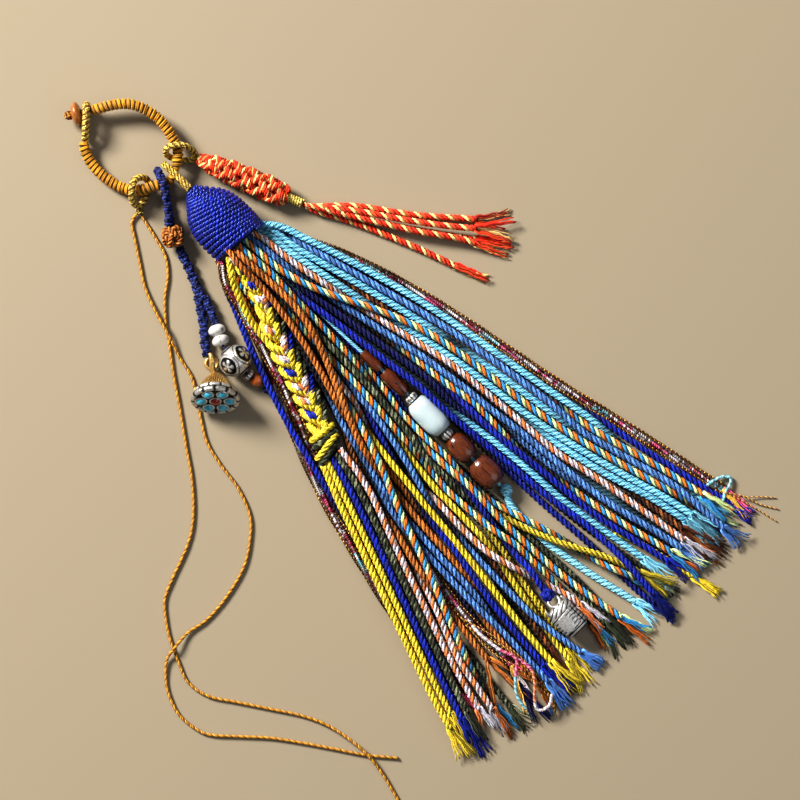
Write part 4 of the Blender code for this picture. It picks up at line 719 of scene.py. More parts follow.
# One row for each cord: yarn, length below the mouth, the layer it lies in at
# each column (0 on the surface, 1 above, 2 crossing over all), and its place
# across the skirt at each column, 0 to 220 mm below the mouth.
SKIRT = (
    ("metallic", 222, "000000000000", (10, 21.5, 29, 34.5, 39, 43.3, 47.5, 52, 57, 61.5, 65, 69)),
    ("light blue", 218, "111111110000", (9.8, 20, 27, 33, 37.2, 40, 43.8, 46.8, 49.8, 53, 57, 60)),
    ("cornflower", 228, "111111111110", (9, 18, 23.3, 28.3, 33.8, 37.5, 40.3, 42.5, 46, 50.5, 54.5, 54.5)),
    ("light blue", 218, "221111110000", (8, 15, 20, 25.3, 31, 34.6, 37.5, 40, 43.2, 47, 51.5, 53)),
    ("light blue", 220, "221111111110", (6.5, 12, 15.5, 20.5, 25.3, 28.7, 31.3, 34, 39, 45, 50.8, 52)),
    ("light blue", 219, "000000001111", (5, 9, 14, 19, 23.5, 27, 29.5, 31, 34.6, 41, 47.2, 51)),
    ("brown", 222, "000000000011", (8.5, 14, 18, 22, 26, 28.5, 31, 31.5, 33, 37, 42.5, 48.5)),
    ("white orange", 224, "221111111111", (5.2, 9, 12.3, 16.8, 20.8, 24.8, 27.4, 29.2, 32, 35.5, 39.5, 42.5)),
    ("brown", 226, "000000000000", (4, 6.5, 10.5, 15, 19, 23, 25.5, 27, 31, 39, 45, 47)),
    ("three colour", 222, "222222111100", (1.5, 2, 10, 22.2, 28.8, 32, 34.5, 37.5, 42.7, 48.5, 52.5, 56)),
    ("three colour", 218, "000000011111", (9.5, 16, 24, 30, 35, 38.5, 42, 45, 48.7, 53.5, 59, 64)),
    ("royal blue", 224, "000000000000", (7, 18.5, 26, 31.5, 36.5, 40.5, 44, 48, 52.4, 57.4, 62.2, 67)),
    ("cornflower", 222, "221000000000", (3.3, 6, 10, 14, 18.5, 21.5, 23.5, 25, 27.5, 32, 36.5, 39.5)),
    ("royal blue", 222, "111111111111", (2.4, 5.2, 7.4, 11.5, 15, 17.5, 19.2, 20.3, 21.5, 24.5, 29, 33)),
    ("three colour", 224, "000111000111", (2.5, 6.5, 10.5, 14, 17, 19.4, 20.8, 21.5, 22.7, 26, 33.5, 38)),
    ("cornflower", 222, "000001111110", (4, 8, 12, 15.5, 19, 22.4, 23.1, 24, 26, 30.5, 36, 38)),
    ("light blue", 224, "000000001100", (6, 10, 13, 16, 19.5, 21.5, 23.5, 25.5, 28.2, 33, 38, 41)),
    ("light blue", 220, "012222110000", (-0.5, 0.3, 3, 6.5, 9, 11.5, 14.5, 17.6, 18.6, 21, 24, 27)),
    ("three colour", 222, "111111110011", (0.5, 0.8, 3.8, 7.5, 10.8, 13.2, 15, 17.6, 18.3, 20.7, 25.5, 26.6)),
    ("royal blue", 228, "111111111122", (-1.5, -0.5, 2.5, 4.8, 7.4, 9.8, 11.4, 14, 16.2, 18.8, 18.3, 17)),
    ("royal blue", 230, "000000000000", (-3, -2, 1, 4.5, 7.5, 10.3, 10.8, 10.8, 11.5, 13.3, 12.3, 13.3)),
    ("olive", 224, "000000000000", (3, 3, 6, 9.5, 12, 13.5, 14.5, 14.5, 14.4, 17, 21, 23)),
    ("yellow", 221, "000000001111", (-5, -4, -2, -2.5, -3.5, -4, -4, -3.8, 0, 8.5, 17.4, 25.6)),
    ("three colour", 228, "221111111111", (-1.6, -1.6, -1.2, -2, -2.7, -3, -3.3, -4, -4, -4.2, -1, 3)),
    ("olive", 226, "000000000000", (-3.5, -5.5, -3, -3.8, -4.7, -6, -8, -8, -5, -2.6, -2.5, -3)),
    ("olive", 224, "000000000000", (-1, -1, 0, -0.5, -1.5, -2, -2.2, -2.4, -1.6, -0.8, -1.5, -7.5)),
    ("olive", 222, "000000000000", (-6, -8, -9, -10, -11.5, -13, -14.6, -15.8, -20, -25, -27.5, -29)),
    ("royal blue", 186, "011100111222", (0.5, 1, 1.5, 0.7, -1.5, -4, -5.9, -7.3, -9.2, -12.2, -13, -13)),
    ("white orange", 213, "000000111111",
     (-7.5, -8.5, -9, -11, -13.5, -15.5, -17.6, -19, -17.3, -10, -5.6, -9)),
    ("three colour", 220, "000001110000", (-5.5, -6.5, -6.5, -7, -8, -9.3, -11, -11.3, -8.4, -8.2, -6, -11)),
    ("yellow", 224, "011111111100",
     (-3.5, -2.5, -4.5, -4.8, -8.3, -12.8, -13.9, -13.6, -17.2, -20.6, -24, -26)),
    ("yellow", 222, "000000011100", (-4.5, -3.5, -5.5, -6.5, -7.5, -8.5, -9.2, -9.4, -12.6, -19, -21.5, -24)),
    ("cornflower", 223, "011111101111",
     (-6.5, -6.5, -6.5, -8, -8, -11, -18, -20.8, -22, -22.7, -22.3, -17.5)),
    ("royal blue", 222, "011111111111",
     (-4.5, -4.5, -3.8, -7.3, -13, -18.3, -24.5, -27.5, -29.5, -33, -35.5, -38)),
    ("yellow", 223, "000222222221",
     (-2.5, -5, -11, -17.6, -19.5, -19.9, -21, -23.3, -25.8, -28.2, -31, -31.5)),
    ("orange brown", 222, "222211110000",
     (-3, -3.5, -1.5, -12, -21.3, -25.7, -28.3, -29.8, -31.5, -35, -38, -41)),
    ("orange brown", 220, "221100000110",
     (-5.5, -4.5, -9, -13.5, -18, -22.5, -27.5, -33.5, -37.6, -38.3, -39.5, -43)),
    ("three colour", 218, "001122222000",
     (-6, -8, -10, -12.5, -16.3, -22.5, -32, -37.4, -46.5, -57, -60, -62)),
    ("cornflower", 222, "000000111000", (-7, -9, -12, -16, -22.5, -27, -31, -31.8, -33, -34.8, -36.5, -38)),
    ("cornflower", 224, "000000011110", (-8, -11, -15, -20, -25.5, -30, -33, -34.4, -35.2, -36.1, -37, -36)),
    ("orange brown", 212, "000000011111",
     (-9, -13, -18, -23.5, -29.5, -34, -39, -43.3, -45.3, -47.5, -49.5, -54)),
    ("metallic", 216, "000000001111", (-7.5, -10, -15, -20.5, -26, -31.5, -37, -41, -43, -42.5, -40.5, -44)),
    ("metallic", 200, "000000000000",
     (-10.2, -19.5, -24.6, -32.2, -39.8, -44.6, -50, -54.5, -59, -64.5, -70, -73)),
    ("royal blue", 214, "011110000000",
     (-10, -22.8, -30.4, -37.2, -42.4, -46.5, -52, -57.5, -62.5, -68.5, -73, -77)),
    ("metallic", 170, "000000000000",
     (-9, -20.5, -26.5, -33.5, -44, -50.6, -55.6, -60, -61.5, -62, -62, -62)),
    ("navy", 223, "000000000000", (0, 3, 7, 10.5, 13, 15.5, 17.5, 19, 22, 26, 31, 36)),
    ("navy", 221, "000000000000", (2, 12, 17, 22.5, 28.5, 32.5, 35, 37, 39.5, 43, 47, 50)),
    ("brown", 219, "000000000000", (-2, -5, -8, -13.5, -15.5, -19, -22.5, -25.5, -28.5, -31.5, -34, -35)),
    ("navy", 222, "000000000000", (-4, -7, -11, -15, -19.5, -23.5, -27.5, -31, -36, -41, -46, -49)),
    ("olive", 221, "000000000000", (1, 5, 8.5, 13, 17.5, 25, 31.5, 34, 36.5, 40, 44.5, 45)),
)

# The cords that leave the end of the fishtail braid, 84 mm below the mouth.
# Their columns start at 80 mm.
BRAID_TAILS = (
    ("white orange", 209, "11111111", (-30.5, -30.7, -39, -46, -54.5, -60, -65.3, -69)),
    ("olive", 210, "11111111", (-32.5, -36.3, -43, -50, -57.2, -64.7, -71, -75)),
    ("royal blue", 209, "11111111", (-34.5, -38.9, -45.9, -53.1, -60.6, -68, -74, -78)),
    ("yellow", 209, "11111111", (-35.5, -41.9, -49.1, -56.2, -63.4, -70.6, -76.5, -79)),
    ("yellow", 210, "11111111", (-37, -45, -52.5, -59.5, -65.6, -72.4, -79, -82)),
    ("white orange", 215, "00001111", (-31.5, -33.5, -37, -42.5, -49, -55.3, -60.5, -64)),
    ("olive", 219, "00000000", (-33.5, -37, -41.5, -46.5, -50, -53, -55, -56)),
)
TAIL_FIRST_COLUMN = 80.0
TAIL_ROOT = 81.0  # where they start, inside the braid's end
# Fishtail braid: below the mouth, across, height of its middle, half width,
# half height.
BRAID = (
    (1.2, -7.8, 17, 2.4, 2.2), (10, -10.5, 14.6, 4, 2.8), (20, -12.8, 11.6, 4.8, 3),
    (30, -15, 9.4, 5.4, 3.1), (40, -17.8, 7.6, 5.8, 3.1), (50, -20.9, 6, 5.8, 3.1),
    (60, -24.3, 4.6, 5.7, 3.1), (70, -28, 3.7, 5.5, 3), (80, -31.8, 3.3, 5, 2.9),
    (85, -33.8, 3.2, 4.6, 2.7),
)

# String of beads in the skirt: name, first and last place below the mouth,
# radius, material.
BEADS = (
    ("slim_bead", 64, 74, 2.2, "dark wood"),
    ("wood_bead_1", 75.5, 88, 3.1, "dark wood"),
    ("spacer_1", 89.3, 92, 2.8, "silver"),
    ("jade_bead", 92.6, 109, 5.3, "jade"),
    ("spacer_2", 109.4, 112.8, 2.8, "silver"),
    ("wood_bead_2", 113.3, 124.5, 4.8, "dark wood"),
    ("wood_bead_3", 126.5, 139, 5.5, "dark wood"),
)
# Below the mouth, across, height: the string from the head through the beads,
# to the knot and the light blue tail.
STRING = (
    (0.4, 1.5, 10), (20, 2, 9.2), (40, 2.4, 8.6), (60, 3, 8.2), (76, 3.8, 7.6), (92, 4.3, 6),
    (110, 4.1, 5.6), (125, 4.3, 5.7), (140.4, 4.6, 5.7),
)
LIGHT_TAIL = (
    (143.5, 5, 3.2), (147, 2.8, 2.2), (151, 1.8, 1.6), (160, 1.3, 1.5), (170, 1.6, 1.5), (180, 3.2, 1.5),
    (190, 5, 1.5), (200, 7.2, 1.5), (210, 9.6, 1.5), (226, 12.6, 1.5),
)
STRING_RADIUS = 0.8
# The room that the small silver charm takes: below the mouth, across, height; then
# half its width, length and thickness.
CHARM_AT = (197.8, -13.6, 6.9)
CHARM_SIZE = (6.3, 6.2, 3.7)
BEAD_SLOPE = 0.30  # how fast the cords close in again beside a bead
TAIL_FROM = 148.0  # below this place the string is the light blue tail
# Height of the bundle's top at places below the mouth, and how far its dome reaches.
CROWN = ((0, 22.6), (20, 17.5), (40, 13), (60, 10.4), (100, 9.2), (160, 8.6), (230, 7))
DOME = 60.0
print(len(SKIRT), "cords in the skirt and", len(BRAID_TAILS), "tails of the fishtail braid")


def below(distance, aside, height):
    """A point of the skirt, given below the mouth, across and up."""
    return (aside, MOUTH_Y - distance, height)


def skirt_route(rows, spacing):
    """The smooth path through rows of (below the mouth, across, up)."""
    return smooth_route([below(*row) for row in rows], spacing)


def column_at(place, table, column):
    """A column of a table, read between its rows, where the first column is the place."""
    table = np.array(table)
    return np.interp(place, table[:, 0], table[:, column])


# %% Targets, obstacles and the settling of the slices
def columns_to_stations(values, count):
    """Columns 20 mm apart to stations on the Catmull-Rom curve through them."""
    values = np.asarray(values, float)
    step = values[-1] - values[-2]
    padded = np.concatenate(([2 * values[0] - values[1]], values, values[-1] + step * np.arange(1, 4)))
    place = np.arange(count) * STATION_STEP / COLUMN_STEP
    first = np.minimum(place.astype(int), len(padded) - 4)
    t = place - first
    return catmull_rom(*[padded[first + k] for k in range(4)], t)


def skirt_targets():
    """Where the tables want every cord: across, layer, and where it is live."""
    aside, layer, live = [], [], []
    station = np.arange(STATIONS)
    for rows, start in ((SKIRT, 0), (BRAID_TAILS, int(TAIL_FIRST_COLUMN / STATION_STEP))):
        for _, length, layers, places in rows:
            for tracks, values in ((aside, places), (layer, [float(digit) for digit in layers])):
                track = columns_to_stations(values, STATIONS - start)
                tracks.append(np.concatenate((np.full(start, float(values[0])), track)))
            first = start + 1 if start else 0
            live.append((station >= first) & (station * STATION_STEP <= length + STATION_STEP))
    return np.array(aside), np.array(layer), np.array(live)


def obstacles(distance):
    """Round obstacles in the skirt at each station: across, height and radius of three
    circles for the braid, one for the string with its beads, one for the tail, and two
    for the charm."""
    middle, height, half, thick = [column_at(distance, BRAID, column) for column in (1, 2, 3, 4)]
    half = half + np.interp(distance, (60, 75), (0.2, 1.2))
    radius = np.where(distance < TAIL_ROOT, thick + 1.5 * GAP, 0)
    rows = [(middle + side * (half - thick), height, radius) for side in (-1, 0, 1)]
    size = np.full(len(distance), STRING_RADIUS + 2.5 * GAP)
    for _, start, end, radius, _ in BEADS:
        beyond = np.maximum(0, np.maximum(start - distance, distance - end))
        size = np.maximum(size, radius + GAP - BEAD_SLOPE * np.maximum(0, beyond - 3))
    size = np.where(distance < TAIL_FROM, size, 0)
    tail = np.where(distance < TAIL_FROM, 0, CORD_RADIUS)
    for table, own in ((STRING, size), (LIGHT_TAIL, tail)):
        rows.append((column_at(distance, table, 1), column_at(distance, table, 2), own))
    beyond = np.maximum(0, np.abs(distance - CHARM_AT[0]) - CHARM_SIZE[1])
    size = np.where(beyond < 6, CHARM_SIZE[2] - GAP - 0.5 * beyond, 0)
    for side in (-1, 1):
        places = (CHARM_AT[1] + side * (CHARM_SIZE[0] - CHARM_SIZE[2]), CHARM_AT[2])
        rows.append([np.full(len(distance), place) for place in places] + [size])
    return [np.array(column) for column in zip(*rows)]


def push_apart(v, z, size, loose, lean):
    """One round of moving overlapping circles apart, along their middles."""
    dv = (v[:, None] - v[None]) * 0.5 * (lean[:, None] + lean[None])
    dz = z[:, None] - z[None]
    apart = np.sqrt(dv**2 + dz**2) + 1e-6
    need = np.where((size[:, None] > 0) & (size[None] > 0), size[:, None] + size[None], 0)
    np.fill_diagonal(need, 0)
    over = np.clip(need - apart, 0, None) * loose[:, None] / np.maximum(loose[:, None] + loose[None], 1)
    return v + 0.45 * (over * dv / apart).sum(axis=1), z + 0.45 * (over * dz / apart).sum(axis=1)


def settle():
    """Lay the cords beside and on each other, none through its neighbour.

    A slice across the skirt has a circle for each cord.  The slice is carried
    from the mouth to the ends of the skirt, station by station.  Each circle is
    drawn to its place in the tables, but at most 1.2 mm further than that place
    moves, and it is pushed off its neighbours, so two cords that change places
    roll over each other.
    """
    distance = np.arange(STATIONS) * STATION_STEP
    aside, layer, live = skirt_targets()
    gripped = np.repeat((0, TAIL_ROOT + ROOT_DEPTH), (len(SKIRT), len(BRAID_TAILS)))
    freed = np.clip((distance - gripped[:, None]) / FREED, 0, 1)
    radius = SQUEEZED_RADIUS + (CORD_RADIUS - SQUEEZED_RADIUS) * freed
    crown = column_at(distance, CROWN, 1)
    left, right = aside.min(axis=0), aside.max(axis=0)
    offset = (aside - (left + right) / 2) / ((right - left) / 2)
    domed = np.clip(1.0 - distance / DOME, 0, 1)
    fall = 1.0 - domed * (1.0 - np.sqrt(np.clip(1.0 - offset**2, 0.06, 1)))
    ground = radius + np.clip(1.0 - distance / 10, 0, 1) * 0.9
    spread = np.modf(np.arange(len(aside)) * GOLDEN)[0]
    depth = np.maximum(layer.clip(0, 2) / 2, 0.7 * spread[:, None] * domed)
    fixed = obstacles(distance)
    want_v = np.vstack((aside, fixed[0]))
    want_z = np.vstack((ground + (crown * fall - ground - radius) * depth, fixed[1]))
    size = np.vstack((np.where(live, radius, 0), fixed[2]))
    lean = 1.0 / np.sqrt(1.0 + np.gradient(want_v, STATION_STEP, axis=1) ** 2)
    count = len(aside)
    loose = np.repeat((1, 0), (count, len(size) - count))
    v, z = want_v[:, 0].copy(), want_z[:, 0].copy()
    laid_v, laid_z = np.zeros((2, *want_v.shape))
    for k in range(STATIONS):
        fresh = (size[:, k] == 0) | (loose == 0)
        if k:
            fresh |= size[:, k - 1] == 0
        v[fresh], z[fresh] = want_v[fresh, k], want_z[fresh, k]
        last_v, last_z = v.copy(), z.copy()
        rounds = FIRST_ROUNDS if k == 0 else ROUNDS
        farthest = LONGEST_MOVE + np.abs(want_v[:, k] - want_v[:, max(0, k - 1)])
        for turn in range(rounds):
            pull = 0.2 * max(0, 1.0 - 1.6 * turn / rounds)
            v += loose * pull * np.clip(want_v[:, k] - v, -1.5, 1.5)
            z += loose * pull * np.clip(want_z[:, k] - z, -1.5, 1.5)
            if k and turn < 0.8 * rounds:
                v = last_v + np.clip(v - last_v, -farthest, farthest)
                z = last_z + np.clip(z - last_z, -LONGEST_MOVE, LONGEST_MOVE)
            v, z = push_apart(v, z, size[:, k], loose, lean[:, k])
            z[:count] = np.maximum(z[:count], ground[:, k])
            if k == 0:
                reach = np.hypot(v[:count], z[:count] - HEAD_AXIS_Z)
                shrink = np.minimum(1, MOUTH_REACH / np.maximum(reach, 1e-6))
                v[:count] *= shrink
                z[:count] = HEAD_AXIS_Z + (z[:count] - HEAD_AXIS_Z) * shrink
        laid_v[:, k], laid_z[:, k] = v, z
    for _ in range(SMOOTHINGS):
        for track in (laid_v, laid_z):
            bend = track[:count, :-2] + track[:count, 2:] - 2 * track[:count, 1:-1]
            steady = live[:, :-2] & live[:, 1:-1]
            track[:count, 1:-1] += 0.25 * bend * steady
        for k in range(1, STATIONS):
            v, z = laid_v[:, k], laid_z[:, k]
            for _ in range(5):
                v, z = push_apart(v, z, size[:, k], loose, lean[:, k])
                z[:count] = np.maximum(z[:count], ground[:, k])
            laid_v[:, k], laid_z[:, k] = v, z
    return distance, laid_v[:count], laid_z[:count]


STATION, LAID_V, LAID_Z = settle()
print("settled", len(LAID_V), "cords at", len(STATION), "stations")

# %% [markdown]
# ### The metallic cords
# These are flatter: a soft core in short dashes of pink, white, rose and turquoise,
# with a fine gold-and-wine twist down each side.  The core is a three-ply cord; each
# side strand is a two-ply cord of its own, set off along the side direction.

# %% Flat cord with two sparkling edges
SEGMENT, LONG_SEGMENT = 0.9, 9.0  # dashes on the core, and stretches of one colour
CORE_COLOURS = np.array([SPARKS[k] for k in ("pink", "silver", "rose", "turquoise", "pink", "white")])
WHITE_BELOW, WINE_BELOW = 0.30, 0.55  # of a dash's draw between 0 and 1
EDGE_OUT, EDGE_RADIUS = 0.92, 0.38  # parts of the cord's radius


def sparkling(path, radius, rng, shade=1):
    """A core of the radius 0.72 r and a twist on each edge, at  path +- 0.92 r * side."""
    side, _ = across(path)
    way = lengths_along(path)
    start = rng.uniform(0, 6)
    # shade is the painted shadow of the cords above, multiplied into every colour of the cord
    slow = CORE_COLOURS[(way / LONG_SEGMENT + start).astype(int) % len(CORE_COLOURS)] * shade
    spot = rng.random((3, int(way[-1] / SEGMENT) + 2))[:, (way / SEGMENT).astype(int)][..., None]
    radius = np.broadcast_to(radius, (len(path),))
    white, wine, gold = [SPARKS[k] * shade for k in ("white", "wine", "gold")]
    tints = [np.where(s < WHITE_BELOW, white, np.where(s < WINE_BELOW, wine, slow)) for s in spot]
    phase = rng.uniform(0, 6)
    tubes = plied(path, 0.72 * radius, 3, tints, -1, phase=phase, core=0.32, ply=0.66, groove=0.5)
    for way_out in (-EDGE_OUT, EDGE_OUT):
        edge = path + way_out * radius[:, None] * side
        phase = rng.uniform(0, 6)
        tubes += plied(edge, EDGE_RADIUS * radius, 2, [gold, wine], sides=4, phase=phase, groove=0.6)
    return tubes


# %% [markdown]
# ### Frayed ends
# Where a cord was cut its plies come undone: each ply opens into a few thin yarns
# that fan out, droop to the table and curl a little.  A yarn's path is its start,
# plus its direction times the way along, plus a bend that grows with the square.

# %% Loose yarns
YARN_RADIUS = 0.27
OPEN_RADIUS = 1.5  # of the bundle of plies where a cord is cut
FRAY_RINGS = 9  # rings of a loose yarn
TAPER = ((0, 0.15, 1), (1.15, 1, 0.8))  # its thickness along the way
# brightness of single yarns, drawn at random; most lie above 1 as painted light on the loose ends
FRAY_LIGHT_TONES = (0.6, 1.1, 1.5, 1.9)  # brightness of single yarns


def cut_back(path, length):
    """The path without its last stretch, which frays."""
    way = lengths_along(path)
    return path[way <= way[-1] - length]


def frayed_end(path, dyes, length, rng, spread=0.13, each=5, back=4):
    """Each ply leaves the cut end as a loose bundle.  The bundle's axis is
    start + t L d + kinks that the twist left, and its yarns lie beside each other about that
    axis in a fan that widens along the way; all end nearly square."""
    tip, heading = path[-1], unit(path[-1] - path[-back])
    up = np.array((0, 0, 1))
    side = unit(np.cross(up, heading))
    t = np.linspace(0, 1, FRAY_RINGS)[:, None]
    tubes = []
    first = rng.uniform(0, 6)
    for ply, dye in enumerate(dyes):
        turn = FULL_TURN * ply / len(dyes) + first
        start = tip + 0.55 * OPEN_RADIUS * (math.cos(turn) * side + math.sin(turn) * up) - 0.8 * heading
        reach = length * rng.uniform(0.85, 1.08)
        kink = 0.4 * (1.0 - 0.7 * t) * np.sin(FULL_TURN * (t * reach / 6.5) + turn)
        lean = math.cos(turn) * spread + rng.normal(0, 0.6 * spread)
        axis = start + t * reach * unit(heading + lean * side) + kink * side
        axis += t**2 * side * rng.normal(0, 0.06 * reach)
        for k in range(each):
            beside = 1.3 * OPEN_RADIUS * ((k + 0.5) / each - 0.5) * (0.7 + 0.7 * t)
            yarn = axis + beside * side + rng.normal(0, 0.22) * up
            yarn += 0.10 * rng.normal(0, 1, (len(t), 3)) * t + t**3 * side * rng.normal(0, 0.6)
            yarn = yarn[0] + (yarn - yarn[0]) * (1.0 - 0.12 * rng.random())
            floor = YARN_RADIUS + 0.05
            fall = (start[2] - floor - 0.5) * t[:, 0] ** 1.3
            yarn[:, 2] = np.maximum(floor, yarn[:, 2] - np.maximum(fall, 0) * 0.6)
            thick = YARN_RADIUS * np.interp(t[:, 0], *TAPER)
            tubes.append((tube(yarn, thick, 4), np.asarray(dye)[-1] * rng.choice(FRAY_LIGHT_TONES), False))
    return tubes


# %% [markdown]
# ### All cords of the skirt
# The settled slices give each cord a point every 5 mm; a smooth curve through them
# is the cord's axis.  Cords of one yarn are joined into one mesh, so that a piece
# is a yarn and not a single strand.

# %% Axes and tubes of the skirt
BULGE = 0.16  # by what share the bundle swells out of the head's mouth
SHOWN_RADIUS = 1.53  # cords are pressed a little by their neighbours
SHOWN_AT_MOUTH = 1.38
FULL_AFTER = 9.0  # from the grip to the full thickness
# Cords that open earlier or later than the rest: row, length of the fray, spread.
FRAYS = {3: (15, 0.2), 9: (15, 0.2), 19: (13, 0.05), 20: (12, 0.05), 22: (17, 0.20), 27: (0, 0),
         40: (25, 0.30), 41: (20, 0.25), 44: (0, 0)}


def cord_axis(row, start):
    """The smooth axis of one settled cord, from its root to its cut end.  Near the mouth
    the bundle swells:  across * s  and  height about the head's axis * (2 s - 1),  with
    s = 1 + bulge exp(-((way - 5) / 7)^2)."""
    length = (SKIRT + BRAID_TAILS)[row][1]
    inner = (STATION >= max(start, 0)) & (STATION < length - 3)
    far = np.concatenate(([start] if start < 0 else [], STATION[inner], [length]))
    v, z = [np.interp(far, STATION, laid[row]) for laid in (LAID_V, LAID_Z)]
    swell = 1.0 + BULGE * np.exp(-(((far - 5) / 7) ** 2))
    v, z = v * swell, np.maximum(HEAD_AXIS_Z + (z - HEAD_AXIS_Z) * (2.0 * swell - 1), CORD_RADIUS)
    return smooth_route(np.column_stack((v, MOUTH_Y - far, z)), STEP)


def full_radius(path, root):
    """From the grip's radius to the free one over the first millimetres."""
    freed = np.clip((MOUTH_Y - path[:, 1] - root) / FULL_AFTER, 0, 1)
    return SHOWN_AT_MOUTH + (SHOWN_RADIUS - SHOWN_AT_MOUTH) * freed


def shade_of_others():
    """Painted shadow of the cords above, multiplied into each cord's dye: how lit each cord is at each
    station, 1 on top, less by a half for each millimetre beyond 0.8 that another cord lies above it, and 0.03
    at least."""
    live = skirt_targets()[2]
    near = np.abs(LAID_V[None] - LAID_V[:, None]) < 2.3
    above = np.where(near & live[None], LAID_Z[None] - LAID_Z[:, None], 0)
    shade = np.clip(1.0 - 0.5 * np.maximum(above.max(axis=1) - 0.8, 0), 0.03, 1)
    shade[:, 1:-1] = (shade[:, :-2] + shade[:, 1:-1] + shade[:, 2:]) / 3.0
    return shade


SHADE = shade_of_others()


def skirt_cord(row, start, rng):
    """Tubes of one cord and of its frayed end.  A cord that lies deep gets fewer sides."""
    yarn = (SKIRT + BRAID_TAILS)[row][0]
    fray, spread = FRAYS.get(row, (rng.uniform(11, 18), 0.13))
    path = cut_back(cord_axis(row, start), fray)
    radius = full_radius(path, max(start, 0))
    # painted shadow of the cords above, multiplied into the dyes; metallic cords keep at least 0.45 of it
    shade = np.interp(MOUTH_Y - path[:, 1], STATION, SHADE[row])[:, None]
    if yarn == "metallic":
        tubes = sparkling(path, 1.25 * radius, rng, np.maximum(shade, 0.45))
        ends = [SPARKS[k][None] for k in ("pink", "gold", "white")]
        return tubes + frayed_end(path, ends, fray, rng, 0.25, 4)
    dyes = [dye * shade for dye in ply_dyes(yarn, len(path), rng)]
    sides = 4 + int(shade.mean() > 0.3) + int(shade.mean() > 0.6)
    pitch, phase = PITCH * rng.uniform(0.94, 1.06), rng.uniform(0, 6)
    tubes = plied(path, radius, pitch, striped(yarn, dyes, sides), YARNS[yarn][1], sides, phase)
    # the frayed end is lifted out of the painted shadow, to at least 0.65 of its dye
    lit = max(1, 0.65 / shade[-1, 0])
    return tubes + (frayed_end(path, [lit * dye for dye in dyes], fray, rng, spread) if fray else [])


def lay_skirt():
    """Group the cords by yarn: the skirt's own, and the tails of the braid."""
    groups = {}
    for row, (yarn, *_) in enumerate(SKIRT + BRAID_TAILS):
        rng = np.random.default_rng(100 + row)
        tail = row >= len(SKIRT)
        start = TAIL_ROOT if tail else -3.0
        groups.setdefault((tail, yarn), []).extend(skirt_cord(row, start, rng))
    for (tail, yarn), grids in groups.items():
        name = ("tail_" if tail else "skirt_") + yarn.replace(" ", "_")
        material = METALLIC_YARN if yarn == "metallic" else COTTON
        slot, node = ("braid_yarn", "fishtail_braid") if tail else ("skirt_yarn", "main_tassel")
        add_piece(name, grids, material, [node])


lay_skirt()

# %% [markdown]
# ### Loose threads
# Some metallic cords have come apart near their ends: their cores curl away and
# their gold threads run on beside them.  They are thin cords on paths of their own,
# because no rule for the other ends would give such curls.

# %% Loose cores, gold threads and a low end
# Below the mouth, across and up, and the colours along the core.
CURLS = (
    (((172, -42.8, 8), (178, -42.9, 9.2), (186.7, -41.7, 9.4), (191.7, -39.8, 9.3), (194.6, -40.2, 9),
      (197, -43, 8.4), (200.8, -47.2, 7.6), (205, -50.1, 6.6), (210.8, -51.3, 5.4)),
     ("silver", "pink", "turquoise")),
    (((188, -41.6, 7.6), (193, -39.6, 7.9), (198, -38.6, 8.2), (202, -38.8, 8), (205.8, -41.3, 7.2),
      (210, -45.5, 5.8), (213.4, -48, 4.6), (215.6, -47.2, 4.2), (216.4, -43.4, 4.4), (214, -39.8, 4.8)),
     ("pink", "peach", "silver")),
    (((199, 63, 3.4), (199.6, 66.5, 2), (201, 70, 1.4), (203.4, 71.8, 1.3), (205.2, 70, 1.4),
      (206, 66.5, 2.2), (208, 63, 3.2)), ("turquoise", "turquoise")),
)
GOLD_ENDS = (((166.7, -43.8, 7.9), (176, -41, 8.9), (185.8, -38.8, 9), (196.7, -38, 8.4), (208, -39.2, 5),
              (219, -42.6, 2)),
             ((170, -44.6, 8), (180, -42, 9), (190, -39.2, 9), (203, -40, 7), (214, -41, 3),
              (222, -44.8, 1.2)),
             ((172, -44.4, 8), (184, -45, 8.4), (196, -42, 8.4), (208, -41.4, 5.6), (220, -41, 1.6)),
             ((206, 66, 3), (212, 70, 2), (219, 72.5, 0.9), (226, 76.5, 0.5)),
             ((206, 66, 2.4), (213, 68.5, 1.8), (220, 70.5, 0.9), (229, 72.5, 0.5)),
             ((204, 65, 2.8), (211, 68.8, 2), (217, 74.5, 0.9), (222, 79, 0.5)))


# A yellow cord that runs under the others and shows only its fray.
LOW_END = ((186, 24, 1.6), (200, 29, 1.6), (221, 33.6, 1.6))


def low_yellow_end():
    """The visible stretch of the low cord, 3 mm thick, and its loose yarns."""
    rng = np.random.default_rng(61)
    path = skirt_route(LOW_END, STEP)
    dyes = ply_dyes("yellow", len(path), rng)
    grids = plied(path, 1.5, PITCH, dyes) + frayed_end(path, dyes, 14, rng, 0.1)
    add_piece("low_yellow_end", grids, COTTON, ["main_tassel"])


def loose_threads():
    """The cores change colour along their way; the gold threads are twisted pairs."""
    grids = []
    for points, tints in CURLS:
        path = skirt_route(points, 0.45)
        part = np.linspace(0, len(tints) - 0.01, len(path)).astype(int)
        dye = np.array([(SPARKS | WARM)[tint] for tint in tints])[part]
        pale = 0.75 * dye + 0.25 * SPARKS["white"]
        grids += plied(path, 0.75, 2.4, [0.8 * dye, pale, 0.5 * dye], lay=-1, core=0.40, ply=0.60, groove=0.4)
    add_piece("loose_cores", grids, METALLIC_YARN, ["main_tassel"])
    grids = []
    pair = [SPARKS["gold"], SPARKS["wine"]]
    for points in GOLD_ENDS:
        grids += plied(skirt_route(points, 0.5), 0.34, 1.9, pair, sides=4, groove=0.6)
    add_piece("loose_gold_threads", grids, METALLIC_YARN, ["main_tassel"])


low_yellow_end()
loose_threads()

# %% [markdown]
# ## The wound head
# A hard core is covered by one long cord, turn beside turn, from the hanger down
# to the mouth.  The cord's axis is a helix whose radius follows the head's
# outline; the turns are even along that outline, not along the axis, so that they
# stay close together on the shoulder.

